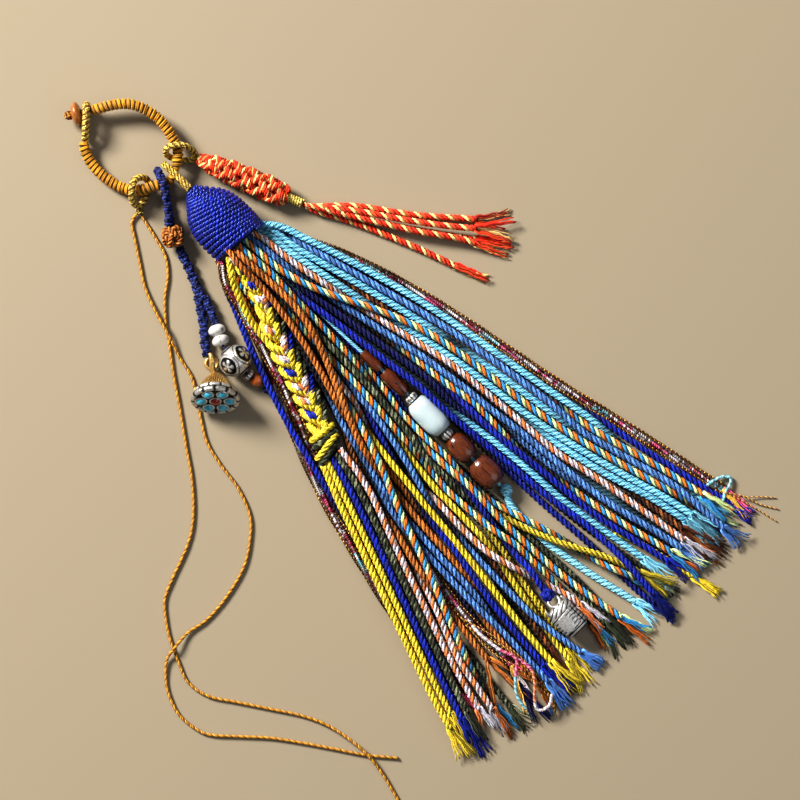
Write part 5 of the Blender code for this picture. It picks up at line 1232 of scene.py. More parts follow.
# %% Winding the head
# Distance from the top and radius of the head's outline.
HEAD_SHAPE = ((0, 2.5), (1.6, 3.9), (4, 6), (8, 9.4), (12, 11.4), (16, 12.2), (21, 12.4),
              (25, 12.2), (29.6, 11.8))
HEAD_CORD = 1.02  # radius of the winding cord
TURN_PITCH = 1.74  # from one turn to the next, along the outline
HEAD_TILT = ((0, 0), (5, 0.30), (20, 0.30), (29.6, 0.03))  # slope of the turns along the head


def head_lean(s):
    """The head's top leans a little aside: 0.9 mm at the top, fading by e every 8 mm."""
    return 0.9 * np.exp(-np.asarray(s) / 8)


def head_helix():
    """Points  (r cos a, top - s, z + r sin a).  The turns are even along the outline, and
    each lies in a plane that tilts:  s = place + tilt * r cos a."""
    shape = np.array(HEAD_SHAPE) - ((0, 0.80),)
    way = lengths_along(shape)
    wound = way[-1] - 1.2
    angle = np.linspace(0, FULL_TURN * wound / TURN_PITCH, int(wound / TURN_PITCH * 130))
    place = 0.6 + wound * angle / angle[-1]
    s, r = [np.interp(place, way, column) for column in shape.T]
    s = np.clip(s + column_at(s, HEAD_TILT, 1) * r * np.cos(angle), 0.5, HEAD_SHAPE[-1][0] - 0.3)
    r = column_at(s, shape, 1)
    x, z = r * np.cos(angle) + head_lean(s), HEAD_AXIS_Z + r * np.sin(angle)
    return np.column_stack((x, HEAD_TOP_Y - s, np.maximum(z, HEAD_CORD + 0.05)))


def radial_frame(axis, up=(0, 0, 1)):
    """The unit axis and two directions square to it."""
    axis = unit(axis)
    e1 = unit(np.cross(axis, up))
    return axis, e1, np.cross(axis, e1)


def revolve(profile, steps, place, axis):
    """Grid  place + h * axis + r (cos a * e1 + sin a * e2)  from (r, h) pairs."""
    axis, e1, e2 = radial_frame(axis)
    ring = round_points(turns(steps), e1, e2)
    profile = np.array(profile, float)
    return np.array(place, float) + profile[:, 1, None, None] * axis + profile[:, 0, None, None] * ring[None]


def wind_head():
    """The winding cord round a core that closes the gaps between its turns; the core is painted dark as the
    shade in those gaps.
    """
    path = smooth_route(head_helix()[::3], 0.48)
    rng = np.random.default_rng(7)
    base = [wander(tint, len(path), 0.25, rng) for tint in (BLUES["head"] * 0.85, BLUES["head"] * 0.4)]
    middle = path * (0, 1, 0) + (0, 0, HEAD_AXIS_Z)
    cord = plied(path, HEAD_CORD, 3.4, base, lay=-1, sides=5, core=0.44, ply=0.62, up=unit(path - middle))
    add_piece("head_winding", cord, HEAD_COTTON, ["main_tassel"])
    core = np.array(HEAD_SHAPE)[::-1, ::-1] - ((0.85, 0.35),)
    profile = np.vstack(([(0.4, core[0, 1])], core, [(0.4, 0.1)]))
    grid = revolve(profile, 48, (0, HEAD_TOP_Y, HEAD_AXIS_Z), (0, -1, 0))
    grid[..., 0] += head_lean(HEAD_TOP_Y - grid[..., 1])
    grid[..., 2] = np.maximum(grid[..., 2], 0.3)
    # painted shade: the core's dark navy stands for the shade in the gaps
    add_piece("head_core", [(grid, BLUES["navy"] * 0.6, False)], COTTON, ["main_tassel"])


wind_head()

# %% [markdown]
# ## The fishtail braid
# In a fishtail braid a cord from the outer edge of one side goes over to the
# middle, then one from the other side does the same, so the middle shows a row of
# Vs.  Each limb is modelled as a short bent cord: it starts low at the edge, rises
# over the braid, and dives where the next limb crosses it.

# %% Limbs of the braid
V_PITCH, V_COUNT, FIRST_V = 5.9, 13, 7.0
LIMB_RADIUS = 1.65
LEFT_YARNS = ("white orange",) + 12 * ("yellow",)
RIGHT_YARNS = ("olive", "white orange", "yellow") + 3 * ("white orange", "yellow", "yellow") + ("yellow",)
OUTER_YARNS = 4 * ("olive", "royal blue", "olive") + ("olive",)
INNER_YARNS = (None, "olive", "royal blue", "white orange", None, "white orange", None, "white orange",
               "royal blue", "white orange", "white orange", "royal blue", None)
# The limbs of each V: yarns, side, reach back, share of the half width, height where a limb
# starts, height of its crown, and how far its tip lies before the V's.
LIMBS = (
    (LEFT_YARNS, -1, 10, 1.06, -0.5, 0.80, 0),
    (RIGHT_YARNS, 1, 7, 0.80, -0.2, 0.95, 0),
    (OUTER_YARNS, 1, 8, 1.16, -0.4, 0.72, 1.6),
    (INNER_YARNS, -1, 6, 0.84, -0.2, 1, 2.4),
)
# The cords that bind the braid's end: below the mouth, aside, height, half width,
# half height, tilt and yarn.
END_TURNS = ((75.4, -30.8, 4, 5, 3.2, 0.42, "yellow"), (77.9, -31.6, 3.6, 5.2, 2.9, 0.40, "olive"),
             (80.6, -33.4, 3.9, 5.9, 3.3, 0.16, "yellow"), (83, -34.4, 3.5, 5.9, 2.9, 0.10, "olive"))
# A yellow cord that runs beside the braid before it becomes one of its limbs.
YELLOW_LEADER = (
    (-2, -6.2, 18.5), (4.2, -10.6, 18.2), (9, -13.6, 16.4), (14.2, -15.8, 14.2), (21.7, -18.6, 11.6),
    (28.6, -20, 9.6), (36, -20.4, 9.4), (40, -19.6, 8.6), (43.6, -18.6, 6.6),
)
# The braid as its limbs show it: its top is narrow and leans to the skirt's middle.
BRAID_SHOWN = ((1.2, -5.6, 17.2, 2.2, 2.2), (8, -6.8, 15.6, 3.2, 2.6), (14, -8, 13.8, 3.8, 2.8),
               (21, -9.9, 11.9, 4.4, 2.9), (27, -12.8, 10.4, 5, 3), (33, -15.6, 9, 5.5, 3.1)) + BRAID[4:]


def limb(tip, side, back, wide, start_low, rise):
    """A cord from the outer edge to the V's tip.  In the braid's own directions its
    points are (along, aside, up) fractions of the reach, the half width and the thickness."""
    steps = np.array([(-1.05, 1.02, start_low), (-0.8, 0.98, 0.25), (-0.5, 0.66, rise),
                      (-0.15, 0.2, 0.86 * rise + 0.1), (0.06, -0.06, 0.45), (0.2, -0.25, -0.2)])
    far = tip + steps[:, 0] * back
    middle, height, half, thick = [column_at(far, BRAID_SHOWN, column) for column in (1, 2, 3, 4)]
    braid = np.array(BRAID_SHOWN)
    slope = np.interp(tip, braid[:, 0], np.gradient(braid[:, 1], braid[:, 0]))
    aside = side * steps[:, 1] * (half * wide - 0.7 * LIMB_RADIUS)
    points = np.column_stack((middle + aside, MOUTH_Y - far - slope * aside, height + steps[:, 2] * thick))
    points[:, 2] = np.maximum(points[:, 2], LIMB_RADIUS + 0.1)
    return smooth_route(points, 0.7)


def end_turn(row, rng):
    """A tilted ellipse of cord round the braid's end."""
    far, aside, height, half, thick, tilt, yarn = row
    ring = round_points(turns(71), (half, (0.3 - tilt) * half, 0), (0, 0, thick)) + below(far, aside, height)
    ring[:, 2] = np.maximum(ring[:, 2], 1.5)
    dyes = ply_dyes(yarn, len(ring), rng)
    return plied(ring, 1.4, PITCH, dyes, up=ring - ring.mean(axis=0), cyclic=True)


def braid_limbs():
    """All limbs and end turns, grouped by yarn, on a flat core painted dark as the shade between the limbs.
    """
    groups = {}
    for k in range(V_COUNT):
        for yarns, side, back, wide, low, rise, before in LIMBS:
            yarn = yarns[k]
            if yarn is None:
                continue
            rng = np.random.default_rng(1000 + 10 * k + int(side > 0) + int(wide > 1))
            path = limb(FIRST_V + V_PITCH * k - before, side, back, wide, low, rise)
            dyes = striped(yarn, ply_dyes(yarn, len(path), rng))
            lay, phase = YARNS[yarn][1], rng.uniform(0, 6)
            cord = plied(path, LIMB_RADIUS, 6, dyes, lay, phase=phase, core=0.42, ply=0.6)
            groups.setdefault(yarn, []).extend(cord)
    path = skirt_route(YELLOW_LEADER, 0.8)
    rng = np.random.default_rng(77)
    radius = np.interp(lengths_along(path), (0, 12), (1.2, 1.6))
    groups["yellow"] += plied(path, radius, PITCH, ply_dyes("yellow", len(path), rng))
    for row in END_TURNS:
        groups[row[-1]] += end_turn(row, rng)
    for yarn, grids in groups.items():
        add_piece("braid_" + yarn.replace(" ", "_"), grids, COTTON, ["fishtail_braid"])
    # painted shade: the core's dark olive shows only between the limbs
    core = skirt_route([(row[0], row[1], row[2] - 0.5) for row in BRAID_SHOWN], 2)
    inner = tube(core, 1, 8)
    inner = (inner - inner.mean(axis=1, keepdims=True)) * (2.6, 1, 1.5) + inner.mean(axis=1, keepdims=True)
    add_piece("braid_core", [(inner, GREENS["olive"] * 0.3, False)], COTTON, ["fishtail_braid"])


braid_limbs()

# %% [markdown]
# ## Turned beads
# A bead is a profile spun about its bore.  The profile runs down the outside and
# back up the bore, so the bead is a closed ring of surface and needs no caps.  A
# superellipse, 1 - |2t - 1|^p, gives a barrel: p near 2 is round, p near 8 is a
# drum with soft shoulders.

# %% Bead profiles and the string of beads
def barrel(length, radius, end_radius, bore, power=3, rows=18):
    """Closed (r, h) profile; outside  r = end + (R - end) (1 - |2t - 1|^p)."""
    t = 0.5 - 0.5 * np.cos(np.linspace(0, math.pi, rows))
    r = end_radius + (radius - end_radius) * (1.0 - np.abs(2 * t - 1) ** power)
    outside = np.column_stack((r, length * (1 - t)))
    inside = np.column_stack((np.full(4, bore), np.linspace(0, length, 4)))
    return np.vstack((outside, inside))


def on_axis(grid, place, axis):
    """The point of the axis that lies beside each point of the grid."""
    return np.array(place) + ((grid - np.array(place)) @ axis)[..., None] * axis


def petals(grid, count, depth, place, axis):
    """Draw a turned grid in between its petals: each radius loses the share
    depth (1 - w)  with  w = |sin(count a / 2)|^0.7.  Returns the grid and w at each point."""
    wave = np.abs(np.sin(0.5 * count * turns(grid.shape[1]))) ** 0.7
    middle = on_axis(grid, place, unit(axis))
    return grid + (grid - middle) * (depth * (wave - 1))[None, :, None], np.broadcast_to(wave, grid.shape[:2])


def metal_dye(height, bright, dark=(0.012, 0.011, 0.010)):
    """Bright on the high places, nearly black in the low ones: a smooth step of the height."""
    t = np.clip((height - 0.25) / 0.45, 0, 1)[..., None]
    t = t * t * (3 - 2 * t)
    return np.array(dark) * (1 - t) + np.array(bright) * t


SILVER_DYE, GILT_DYE = (0.86, 0.84, 0.80), (0.78, 0.50, 0.17)
PLAIN = (0.5, 0.5, 0.5)  # for finishes that don't read the dye
BORE = 1.0
# Kind of bead: finish, slot, power of its barrel.
BEAD_LOOKS = {"dark wood": (DARK_WOOD, "dark_wood", 3.2), "silver": (SILVER, "silver", 2.5),
              "jade": (JADE, "jade", 4.6)}


def silver_petals(grid, count, depth, place, axis):
    """A turned grid with silver petals, and its dye."""
    grid, height = petals(grid, count, depth, place, axis)
    return grid, metal_dye(height, SILVER_DYE)


def thread_beads():
    """Each bead sits between two places of the string, its axis from one to the other."""
    for name, start, end, radius, kind in BEADS:
        first, last = [np.array(below(far, column_at(far, STRING, 1), column_at(far, STRING, 2)))
                       for far in (start, end)]
        material, slot, power = BEAD_LOOKS[kind]
        profile = barrel(np.linalg.norm(last - first), radius, max(BORE + 0.6, 0.66 * radius), BORE, power)
        grid, dye = revolve(profile, 64, first, last - first), PLAIN
        if kind == "silver":
            grid, dye = silver_petals(grid, 8, 0.16, first, last - first)
        add_piece(name, [(grid, dye, True)], material, [name], sharp=50)


thread_beads()

# %% [markdown]
# ### The string and its light blue end
# A thin cord runs through the beads.  Under the last one it is knotted, and the
# light blue cord that hangs from the knot is as thick as the skirt's.  The knot is
# three closed rings of cord that lean across each other, which reads as a knot from
# every side and needs no tangled path.

# %% The string, its knot and the light blue tail
KNOT_PLACE = (143.5, 5, 3.2)
KNOT_RINGS = ((0.5, 1.45), (-0.6, 1.5), (1.5, 1.4))  # lean and radius


def light_string():
    """The string's plies, the tail with its fray, and the knot's rings
    (cos a cos lean, sin a, 0.9 cos a sin lean) * radius."""
    rng = np.random.default_rng(31)
    path = skirt_route(STRING, 0.5)
    cord = plied(path, STRING_RADIUS, 3.2, ply_dyes("light blue", len(path), rng), -1, sides=5)
    add_piece("bead_string_plies", cord, COTTON, ["bead_string"])
    rows = [(far, aside, max(height, 1.65)) for far, aside, height in LIGHT_TAIL]
    path = cut_back(skirt_route(rows, STEP), 14)
    dyes = ply_dyes("light blue", len(path), rng)
    grids = plied(path, 1.55, PITCH, dyes, -1) + frayed_end(path, dyes, 13, rng, 0.2, 4)
    plain = [dye[0] for dye in dyes]
    for lean, size in KNOT_RINGS:
        ring = round_points(turns(59), (math.cos(lean), 0, math.sin(lean)), (0, 1, 0)) * size
        ring[:, 2] *= 0.9
        grids += plied(ring + below(*KNOT_PLACE), 1.25, 4, plain, -1, cyclic=True, up=flat_way(ring))
    add_piece("light_tail_plies", grids, COTTON, ["light_tail"])


light_string()

# %% [markdown]
# ## The hanging ring
# A core is whipped with brown and gold cord, turn after turn, with a groove
# between two turns.  Each turn is three threads side by side, the low one painted
# dark as shade and the middle one proud of the others; undersides and core are
# painted dark as shade too.  The two ends meet at a wooden button that goes
# through an eyelet of sparkling gold cord.

# %% The ring's path and its winding
# X, Y and height of the wrapped ring, from the button's neck round to the
# eyelet's foot.
RING = (
    (-4.6, 71.3, 5.4), (1.4, 67.9, 6.6), (4.7, 65.5, 7), (7.5, 62.7, 7.2), (9.6, 59.2, 7.3),
    (11, 54.9, 7.2), (11.7, 50, 7), (11.2, 44.9, 6.8), (10, 40.4, 6.5), (8.7, 36.6, 6.3), (5.5, 33.4, 6.2),
    (1.3, 31, 6.2), (-1.6, 29.6, 6.2), (-5.2, 30.2, 6.2), (-8.3, 32.4, 6.2), (-11.2, 33.9, 6),
    (-13.9, 35.8, 5.2), (-16.5, 38.3, 3.8), (-17.9, 41, 2.8), (-19.1, 44, 2.5), (-19.9, 48.3, 2.5),
    (-20.2, 52.5, 2.5), (-19.9, 56.8, 2.7), (-18.8, 60.7, 3.1), (-17.2, 63.6, 3.6),
)
THIN_FROM, THIN_TO = 0.475, 0.60  # the part of the ring that carries the loops
BUTTON = (-10.2, 75, 4.9)
BUTTON_RADIUS, BUTTON_THICK, NECK_RADIUS = 4.7, 4.4, 1.2
NECK_WAY = unit(np.array(BUTTON) - np.array(RING[0]))

# Loops: X, Y and height.  The head's hanger and the navy loop are open.
EYELET = (
    (-4.7, 74.7, 5.2), (-5.9, 73.4, 8.2), (-8.3, 71.1, 8.5), (-11.3, 68.4, 7.6), (-13.7, 66.2, 5.6),
    (-14.7, 65.4, 3.8), (-13.5, 66.4, 2), (-11.3, 68.4, 1.7), (-8.3, 71.1, 1.7), (-5.9, 73.4, 2.2),
)
ORANGE_LOOP = (
    (11.8, 29.6, 4.6), (12.4, 31.8, 7.4), (11.6, 34.6, 10.3), (9.8, 37.2, 11), (7, 39.2, 10.2),
    (4.8, 39.2, 8), (3.8, 37.8, 5.2), (4.6, 35.2, 2.3), (6.8, 32.2, 1.8), (9.4, 29.6, 2.4),
)
HANGER_LOOP = (
    (0.9, 21.4, 13.4), (0.9, 24.6, 13), (0.8, 28, 11.4), (0.7, 31.4, 10.4), (0.5, 34.8, 9.2),
    (0.4, 36.2, 6.2), (0.4, 34.8, 2.8), (0.5, 31.6, 1.8), (0.5, 28, 2.6), (0.5, 25.6, 5), (0.5, 23.6, 8.4),
    (0.5, 22.6, 9.6), (0.5, 21.2, 9.9),
)
TIE_LOOP = (
    (-19, 32, 2.6), (-19, 34, 6.2), (-17, 36.6, 9.2), (-14.4, 38.6, 9.8), (-11.8, 39.6, 7.6),
    (-9.4, 38.4, 4.2), (-8.9, 36.2, 1.8), (-11, 34, 1.7), (-14, 32.4, 1.7), (-17, 31.4, 1.7),
)
NAVY_LOOP = (
    (-15.6, 17.4, 6.4), (-13.4, 19.6, 7), (-11, 22.2, 8), (-8.6, 25.4, 9.4), (-6.2, 28.4, 10.4),
    (-4.8, 31.6, 10.4), (-3.6, 34.8, 8.4), (-3.4, 35.7, 5.2), (-4.2, 33.4, 2.2), (-6, 29.8, 1.9),
    (-8.8, 25.8, 2), (-11.4, 21.8, 2.2), (-13.8, 18.6, 2.6), (-14.9, 17, 3),
)
RING_RADIUS = 2.4
RING_GOLD, RING_DARK = linear(212, 148, 30), linear(120, 58, 10)
WRAP_PITCH = 1.8
# The three threads of a turn: aside along the ring, depth below its surface, brightness; the low thread's
# brightness is painted shade.
WRAP_THREADS = ((-0.56, 0.95, 0.34), (-0.12, 0.46, 1.05), (0.40, 0.52, 0.9))
WRAP_THREAD_RADIUS = 0.38
RING_COTTON = cotton("waxed brown cord", lines=3.0, slant=0.05, roughness=0.5, sheen=0.1, bump=0.00022)


def wrap_ring():
    """Wrap:  path + (R - w) (cos a * side + sin a * normal),  a = 2 pi * way / pitch."""
    path = smooth_route(RING + ((-16.1, 64.6, 3.8),), 0.13)
    way = lengths_along(path)
    part = way / way[-1]
    thin = np.clip((part - THIN_FROM) / 0.02, 0, 1) * np.clip((THIN_TO - part) / 0.02, 0, 1)
    radius = RING_RADIUS * (1.0 - 0.2 * thin)
    out = round_points(FULL_TURN * way / WRAP_PITCH, *across(path))
    ahead = unit(np.gradient(path, axis=0))
    dye = wander(RING_GOLD, len(path), 0.25, np.random.default_rng(5))
    # painted shade: each thread is darker on its underside
    shade = (0.45 + 0.55 * np.clip(np.sin(turns(5)) + 0.4, 0, 1))[None, :, None]
    grids = []
    for aside, low, thread_shade in WRAP_THREADS:
        wrap = path + aside * ahead + (radius - low)[:, None] * out
        grids.append((tube(wrap, WRAP_THREAD_RADIUS, 5, out), thread_shade * dye[:, None] * shade, False))
    neck_end = np.array(BUTTON) + NECK_WAY * (BUTTON_THICK / 2 + 0.4)
    # the core is painted dark as the shade between the turns
    grids.append((tube(path[::12], radius[::12] - 0.85, 10), RING_DARK * 0.3, False))
    grids.append((tube(smooth_route([RING[0], BUTTON, neck_end], 1.0), 1.1, 10), RING_DARK, False))
    add_piece("ring_wrapping", grids, RING_COTTON, ["ring_cord"])


def turks_head(centre, radius, cord, axis, dyes, bights=4):
    """A woven ball.  Its one cord runs round the axis three times while it swings between
    the poles `bights` times:  latitude = 1.05 sin(bights t / 3), and rises and dips at
    every crossing."""
    leads = 3
    t = turns(90 * leads - 1, leads * FULL_TURN)
    latitude = 1.05 * np.sin(bights * t / leads)
    reach = radius * (1.0 + 0.16 * np.sin(2 * bights * t / leads))
    axis, e1, e2 = radial_frame(axis, (0.3, 0.2, 1.0))
    ball = np.cos(latitude)[:, None] * round_points(t, e1, e2) + np.sin(latitude)[:, None] * axis
    grids = plied(np.array(centre) + reach[:, None] * ball, cord, 3.0 * cord, dyes, cyclic=True, up=ball)
    # an inner ball painted dark as the shade between the crossings
    inner = np.linspace(-0.98, 0.98, 9)
    profile = 0.86 * radius * np.column_stack((np.sqrt(1 - inner**2), inner))
    return grids + [(revolve(profile, 16, centre, axis), np.asarray(dyes[-1]) * 0.3, False)]


def button():
    """A turned wooden disc on the ring's neck, and a small woven ball that stops it."""
    foot = np.array(BUTTON) + NECK_WAY * (0.25 - BUTTON_THICK / 2)
    profile = barrel(BUTTON_THICK - 0.7, BUTTON_RADIUS + 0.1, 2.6, NECK_RADIUS + 0.15, 2.2, 22)
    disc = revolve(profile, 64, foot, NECK_WAY)
    add_piece("button_disc", [(disc, PLAIN, True)], ORANGE_WOOD, ["button_bead"])
    centre = np.array(BUTTON) + NECK_WAY * (BUTTON_THICK / 2 + 0.9)
    ball = turks_head(centre, 1.35, 0.62, NECK_WAY, [RING_GOLD, RING_DARK])
    add_piece("button_stop", ball, RING_COTTON, ["button_knot"])


wrap_ring()
button()

# %% [markdown]
# ## Loops of gold cord
# The eyelet, the hanger of the head, the loop of the orange tassel and the loop of
# the ties are all the same cord: six thin metal threads laid round a core that is
# painted dark as the shade between them.  The hanger is two such cords side by side.
# A closed loop gets a whole number of turns, so that its ends meet.

# %% Gold loops
THREAD_DYES = [linear(255, 230, 118), linear(120, 76, 18), linear(240, 202, 86)]


def gold_loop(name, points, radius, node, cyclic=True, offsets=(0.0,)):
    """Six thin threads round a core painted dark as shade, once for each offset across the loop's plane."""
    path = smooth_route(points + points[:1], 0.4)[:-1] if cyclic else smooth_route(points, 0.4)
    flat, dyes = flat_way(points), 2 * THREAD_DYES
    grids = []
    for offset in offsets:
        own = path + offset * flat
        grids += plied(own, radius, 4.4, dyes, cyclic=cyclic, up=flat, sides=5, core=0.74, ply=0.31)
        # painted shade: the core is dark so that the gaps between the threads look shaded
        grids.append((tube(own, 0.72 * radius, 8, flat, cyclic), THREAD_DYES[1] * 0.2, cyclic))
    add_piece(name, grids, GOLD_THREAD, [node])


gold_loop("eyelet_cord", EYELET, 1.5, "ring_eyelet")
gold_loop("orange_hanger", ORANGE_LOOP, 1.25, "orange_loop")
gold_loop("head_hanger", HANGER_LOOP, 0.72, "hanger_loop", False, (-0.62, 0.62))
gold_loop("tie_hanger", TIE_LOOP, 1.4, "tie_loop")
TIE_KNOT = turks_head((-19.7, 29.9, 1.7), 1.1, 0.55, (-0.3, -0.9, 0.0), THREAD_DYES[:2])
add_piece("tie_knot_turns", TIE_KNOT, GOLD_THREAD, ["tie_knot"])

# %% [markdown]
# ## Round braids
# The navy braid and the orange plait are round braids: half of the strands wind
# one way round a soft middle, half the other way, and every strand goes over one
# and under the next.  The angle is plus or minus 2 pi * way / pitch, and the
# radius swells and shrinks by cos(N * angle), which is 1 at every second crossing.

# %% A braid along a path
def round_braid(path, half, thick, pitch, strand, count, dyes, cord_pitch, swell=0.28, up=(0, 0, 1)):
    """2 * count strands on an ellipse of half width and half thickness; each strand is a
    twisted cord, with slimmer plies round a wider middle where it has five of them."""
    side, normal = across(path, up)
    way = lengths_along(path)
    half, thick = [np.broadcast_to(part, (len(path),))[:, None] for part in (half, thick)]
    core, ply = (0.42, 0.62) if len(dyes[0]) < 5 else (0.62, 0.38)
    grids = []
    for lay in (1, -1):
        over = 1.0 + lay * swell * np.cos(count * FULL_TURN * way / pitch + 0.25 * math.pi)[:, None]
        for k in range(count):
            turn = lay * FULL_TURN * way / pitch + FULL_TURN * (k + 0.25 * (lay > 0)) / count
            out = round_points(turn, (half - strand) * over * side, (thick - strand) * over * normal)
            centre = path + out
            centre[:, 2] = np.maximum(centre[:, 2], strand + 0.02)
            dye = dyes[(k + (lay > 0)) % len(dyes)]
            grids += plied(centre, strand, cord_pitch, dye, lay, 5, 1.7 * k + lay, core, ply, unit(out))
    return grids


# %% [markdown]
# ## The navy braid and what hangs from it
# It loops over the ring, passes through a knotted ball, and splits into two arms.
# One arm carries white beads, a large silver bead and an orange one, the other the
# ring of a pod-shaped charm.

# %% The navy braid, its ball and end knot
KNOT_BEAD = (-17.6, 13.2, 4.9)
NAVY_STEM = (
    (-19, 8, 3.4), (-20.5, 4.2, 2.4), (-21.9, -0.1, 2.1), (-23.6, -4.1, 2), (-25.3, -8, 2),
    (-28.1, -12, 1.9), (-30.4, -15.4, 1.9), (-32.7, -18.8, 1.9), (-36, -23, 1.9), (-38.8, -26.2, 2),
    (-41.4, -30.1, 2),
)
NAVY_BRANCH = (
    (-24.2, -6, 2), (-25.6, -10, 2.2), (-26.2, -14, 2.4), (-27.4, -17.6, 2.6), (-29, -21, 2.8),
    (-30.2, -23.6, 3),
)
# The thin line through the hanging beads.
BEAD_LINE = (
    (-30.4, -23.9, 3), (-31.6, -25.7, 3.15), (-33.5, -29.7, 3.5), (-34.1, -31.5, 3.9), (-34.5, -33.3, 6.2),
    (-34.6, -34.4, 6.5), (-34.9, -39.6, 6.5), (-35.2, -45, 6.5), (-35.35, -47.2, 5.9), (-34.3, -50.9, 3.9),
    (-33.6, -53.4, 2.7), (-33.4, -54.2, 2.4),
)
LINE_RADIUS, LINE_BORE = 0.5, 1.05
# Name, middle, length, radius, axis, material and radius at the ends.
HANGING_BEADS = (
    ("white_bead_1", (-31.6, -25.7, 3.6), 4.3, 3.5, (-0.46, -0.88, 0.08), "white bead", 1.9),
    ("white_bead_2", (-33.5, -29.7, 3.8), 4.3, 3.5, (-0.38, -0.90, 0.18), "white bead", 1.9),
    ("silver_bead", (-34.9, -39.6, 6.8), 12, 6.7, (-0.06, -1, 0), "silver", 2.2),
    ("silver_cap", (-35.3, -47.3, 5.9), 1.8, 2.6, (0.05, -0.94, -0.34), "silver", 2),
    ("orange_bead", (-34.3, -50.9, 3.9), 4.2, 2.7, (0.25, -0.87, -0.42), "orange bead", 1.9),
)
NAVY_DYES = [linear(10, 16, 62), linear(36, 52, 124)]
KNOT_DYES = [linear(214, 138, 62), linear(176, 100, 38)]


def navy_braid(points, half, up=(0, 0, 1)):
    """Four strands of navy cord along the points."""
    return round_braid(smooth_route(points, 0.35), half, 1.8, 9.0, 1.0, 2, [NAVY_DYES], 2.6, up=up)


def navy_cords():
    """The loop, the two arms, the knotted ball, the line's end knot and the line."""
    loop = navy_braid(NAVY_LOOP, 2.0, flat_way(NAVY_LOOP))
    add_piece("navy_loop_braid", loop, FINE_COTTON, ["navy_braid_upper"])
    arms = navy_braid(NAVY_STEM, 2.1) + navy_braid(NAVY_BRANCH, 1.9)
    add_piece("navy_arms_braid", arms, FINE_COTTON, ["navy_braid_lower"])
    ball = turks_head(KNOT_BEAD, 3.65, 1.05, (-0.45, -0.8, -0.1), KNOT_DYES, bights=5)
    add_piece("knotted_ball", ball, COTTON, ["knot_bead"])
    knot = turks_head((-34.2, -56.5, 2.2), 1.25, 0.62, (0.2, -0.9, -0.1), NAVY_DYES)
    add_piece("line_end_knot", knot, FINE_COTTON, ["end_knot"])
    line = plied(smooth_route(BEAD_LINE, 0.4), LINE_RADIUS, 1.6, NAVY_DYES, sides=5, core=0.45)
    add_piece("bead_line", line, FINE_COTTON, ["hanging_string"])


navy_cords()

# %% [markdown]
# ### Small cast and turned pieces
# The silver bead is a barrel with round medallions in relief: each has a raised
# rim, a dark moat and a small flower.  The relief is a height for every point of
# the turned grid, and the same height darkens the low places.

# %% Beads on the navy line
def medallion(distance, turn, size):
    """Rim, moat and flower of a medallion at a distance from its middle, each 0 to 1."""
    rim = np.exp(-(((distance - 0.88 * size) / (0.09 * size)) ** 2))
    moat = np.exp(-(((distance - 0.70 * size) / (0.10 * size)) ** 2))
    flower = 0.5 + 0.5 * np.cos(5 * turn) * np.clip(distance / (0.3 * size), 0, 1)
    flower *= np.clip((0.62 * size - distance) / (0.12 * size), 0, 1)
    lines = 0.5 + 0.5 * np.cos(FULL_TURN * distance / (0.2 * size))
    return rim, moat, flower * (0.55 + 0.45 * lines)


def medallion_relief(along, angle, length, radius):
    """Height 0 to 1 on a bead's skin: four medallions round it, and a groove at each end."""
    height = np.full((len(along), len(angle)), 0.8)
    for k in range(4):
        gap = (angle - math.pi / 2 * (k + 0.42) + math.pi) % FULL_TURN - math.pi
        x, y = radius * gap[None, :], along[:, None]
        distance, turn = np.hypot(x, y), np.arctan2(y, x)
        rim, moat, flower = medallion(distance, turn, 0.40 * length)
        own = 0.25 + 0.75 * np.maximum(rim, flower) - 0.6 * moat * (1 - rim)
        height = np.where(distance < 0.42 * length, own, height)
    edge = np.exp(-(((np.abs(along) - 0.46 * length) / 0.35) ** 2))[:, None]
    return np.clip(height - 0.7 * edge, 0, 1)


RELIEF_ROWS, RELIEF_STEPS, RELIEF_DEPTH = 70, 150, 0.38


def relief_bead(foot, axis, length, radius, end):
    """The turned grid, with its outside pushed in by  depth * (1 - height)."""
    profile = barrel(length, radius, end, LINE_BORE, 2.6, RELIEF_ROWS)
    grid = revolve(profile, RELIEF_STEPS, foot, axis)
    height = medallion_relief(profile[:, 1] - length / 2, turns(RELIEF_STEPS), length, radius)
    outside = (np.arange(len(profile)) < RELIEF_ROWS)[:, None]
    out = unit(grid - on_axis(grid, foot, axis))
    return grid + out * (RELIEF_DEPTH * (height - 1.0) * outside)[..., None], metal_dye(height, SILVER_DYE)


def line_beads():
    """Each bead is turned round its own axis; the largest carries the relief."""
    looks = {"white bead": (WHITE_BEAD, 2.3), "silver": (SILVER, 3.0), "orange bead": (ORANGE_BEAD, 2.3)}
    for name, middle, length, radius, axis, kind, end in HANGING_BEADS:
        axis = unit(axis)
        material, power = looks[kind]
        foot, dye = np.array(middle) - axis * length / 2, PLAIN
        if name == "silver_bead":
            grid, dye = relief_bead(foot, axis, length, radius, end)
        else:
            grid = revolve(barrel(length, radius, end, LINE_BORE, power, 20), 64, foot, axis)
            if kind == "silver":
                grid, dye = silver_petals(grid, 10, 0.14, foot, axis)
        title = "medallion_bead" if name == "silver_bead" else name + "_turned"
        add_piece(title, [(grid, dye, True)], material, [name])


line_beads()

# %% [markdown]
# ### The pod charm
# A cast pod: a silver face with seven stones in collars, a rim of two rows of
# petals, and a gilt ribbed skirt that narrows to a stalk with a ring.  The face is a
# turned grid too, and its petals are waves that push the rim in between them.

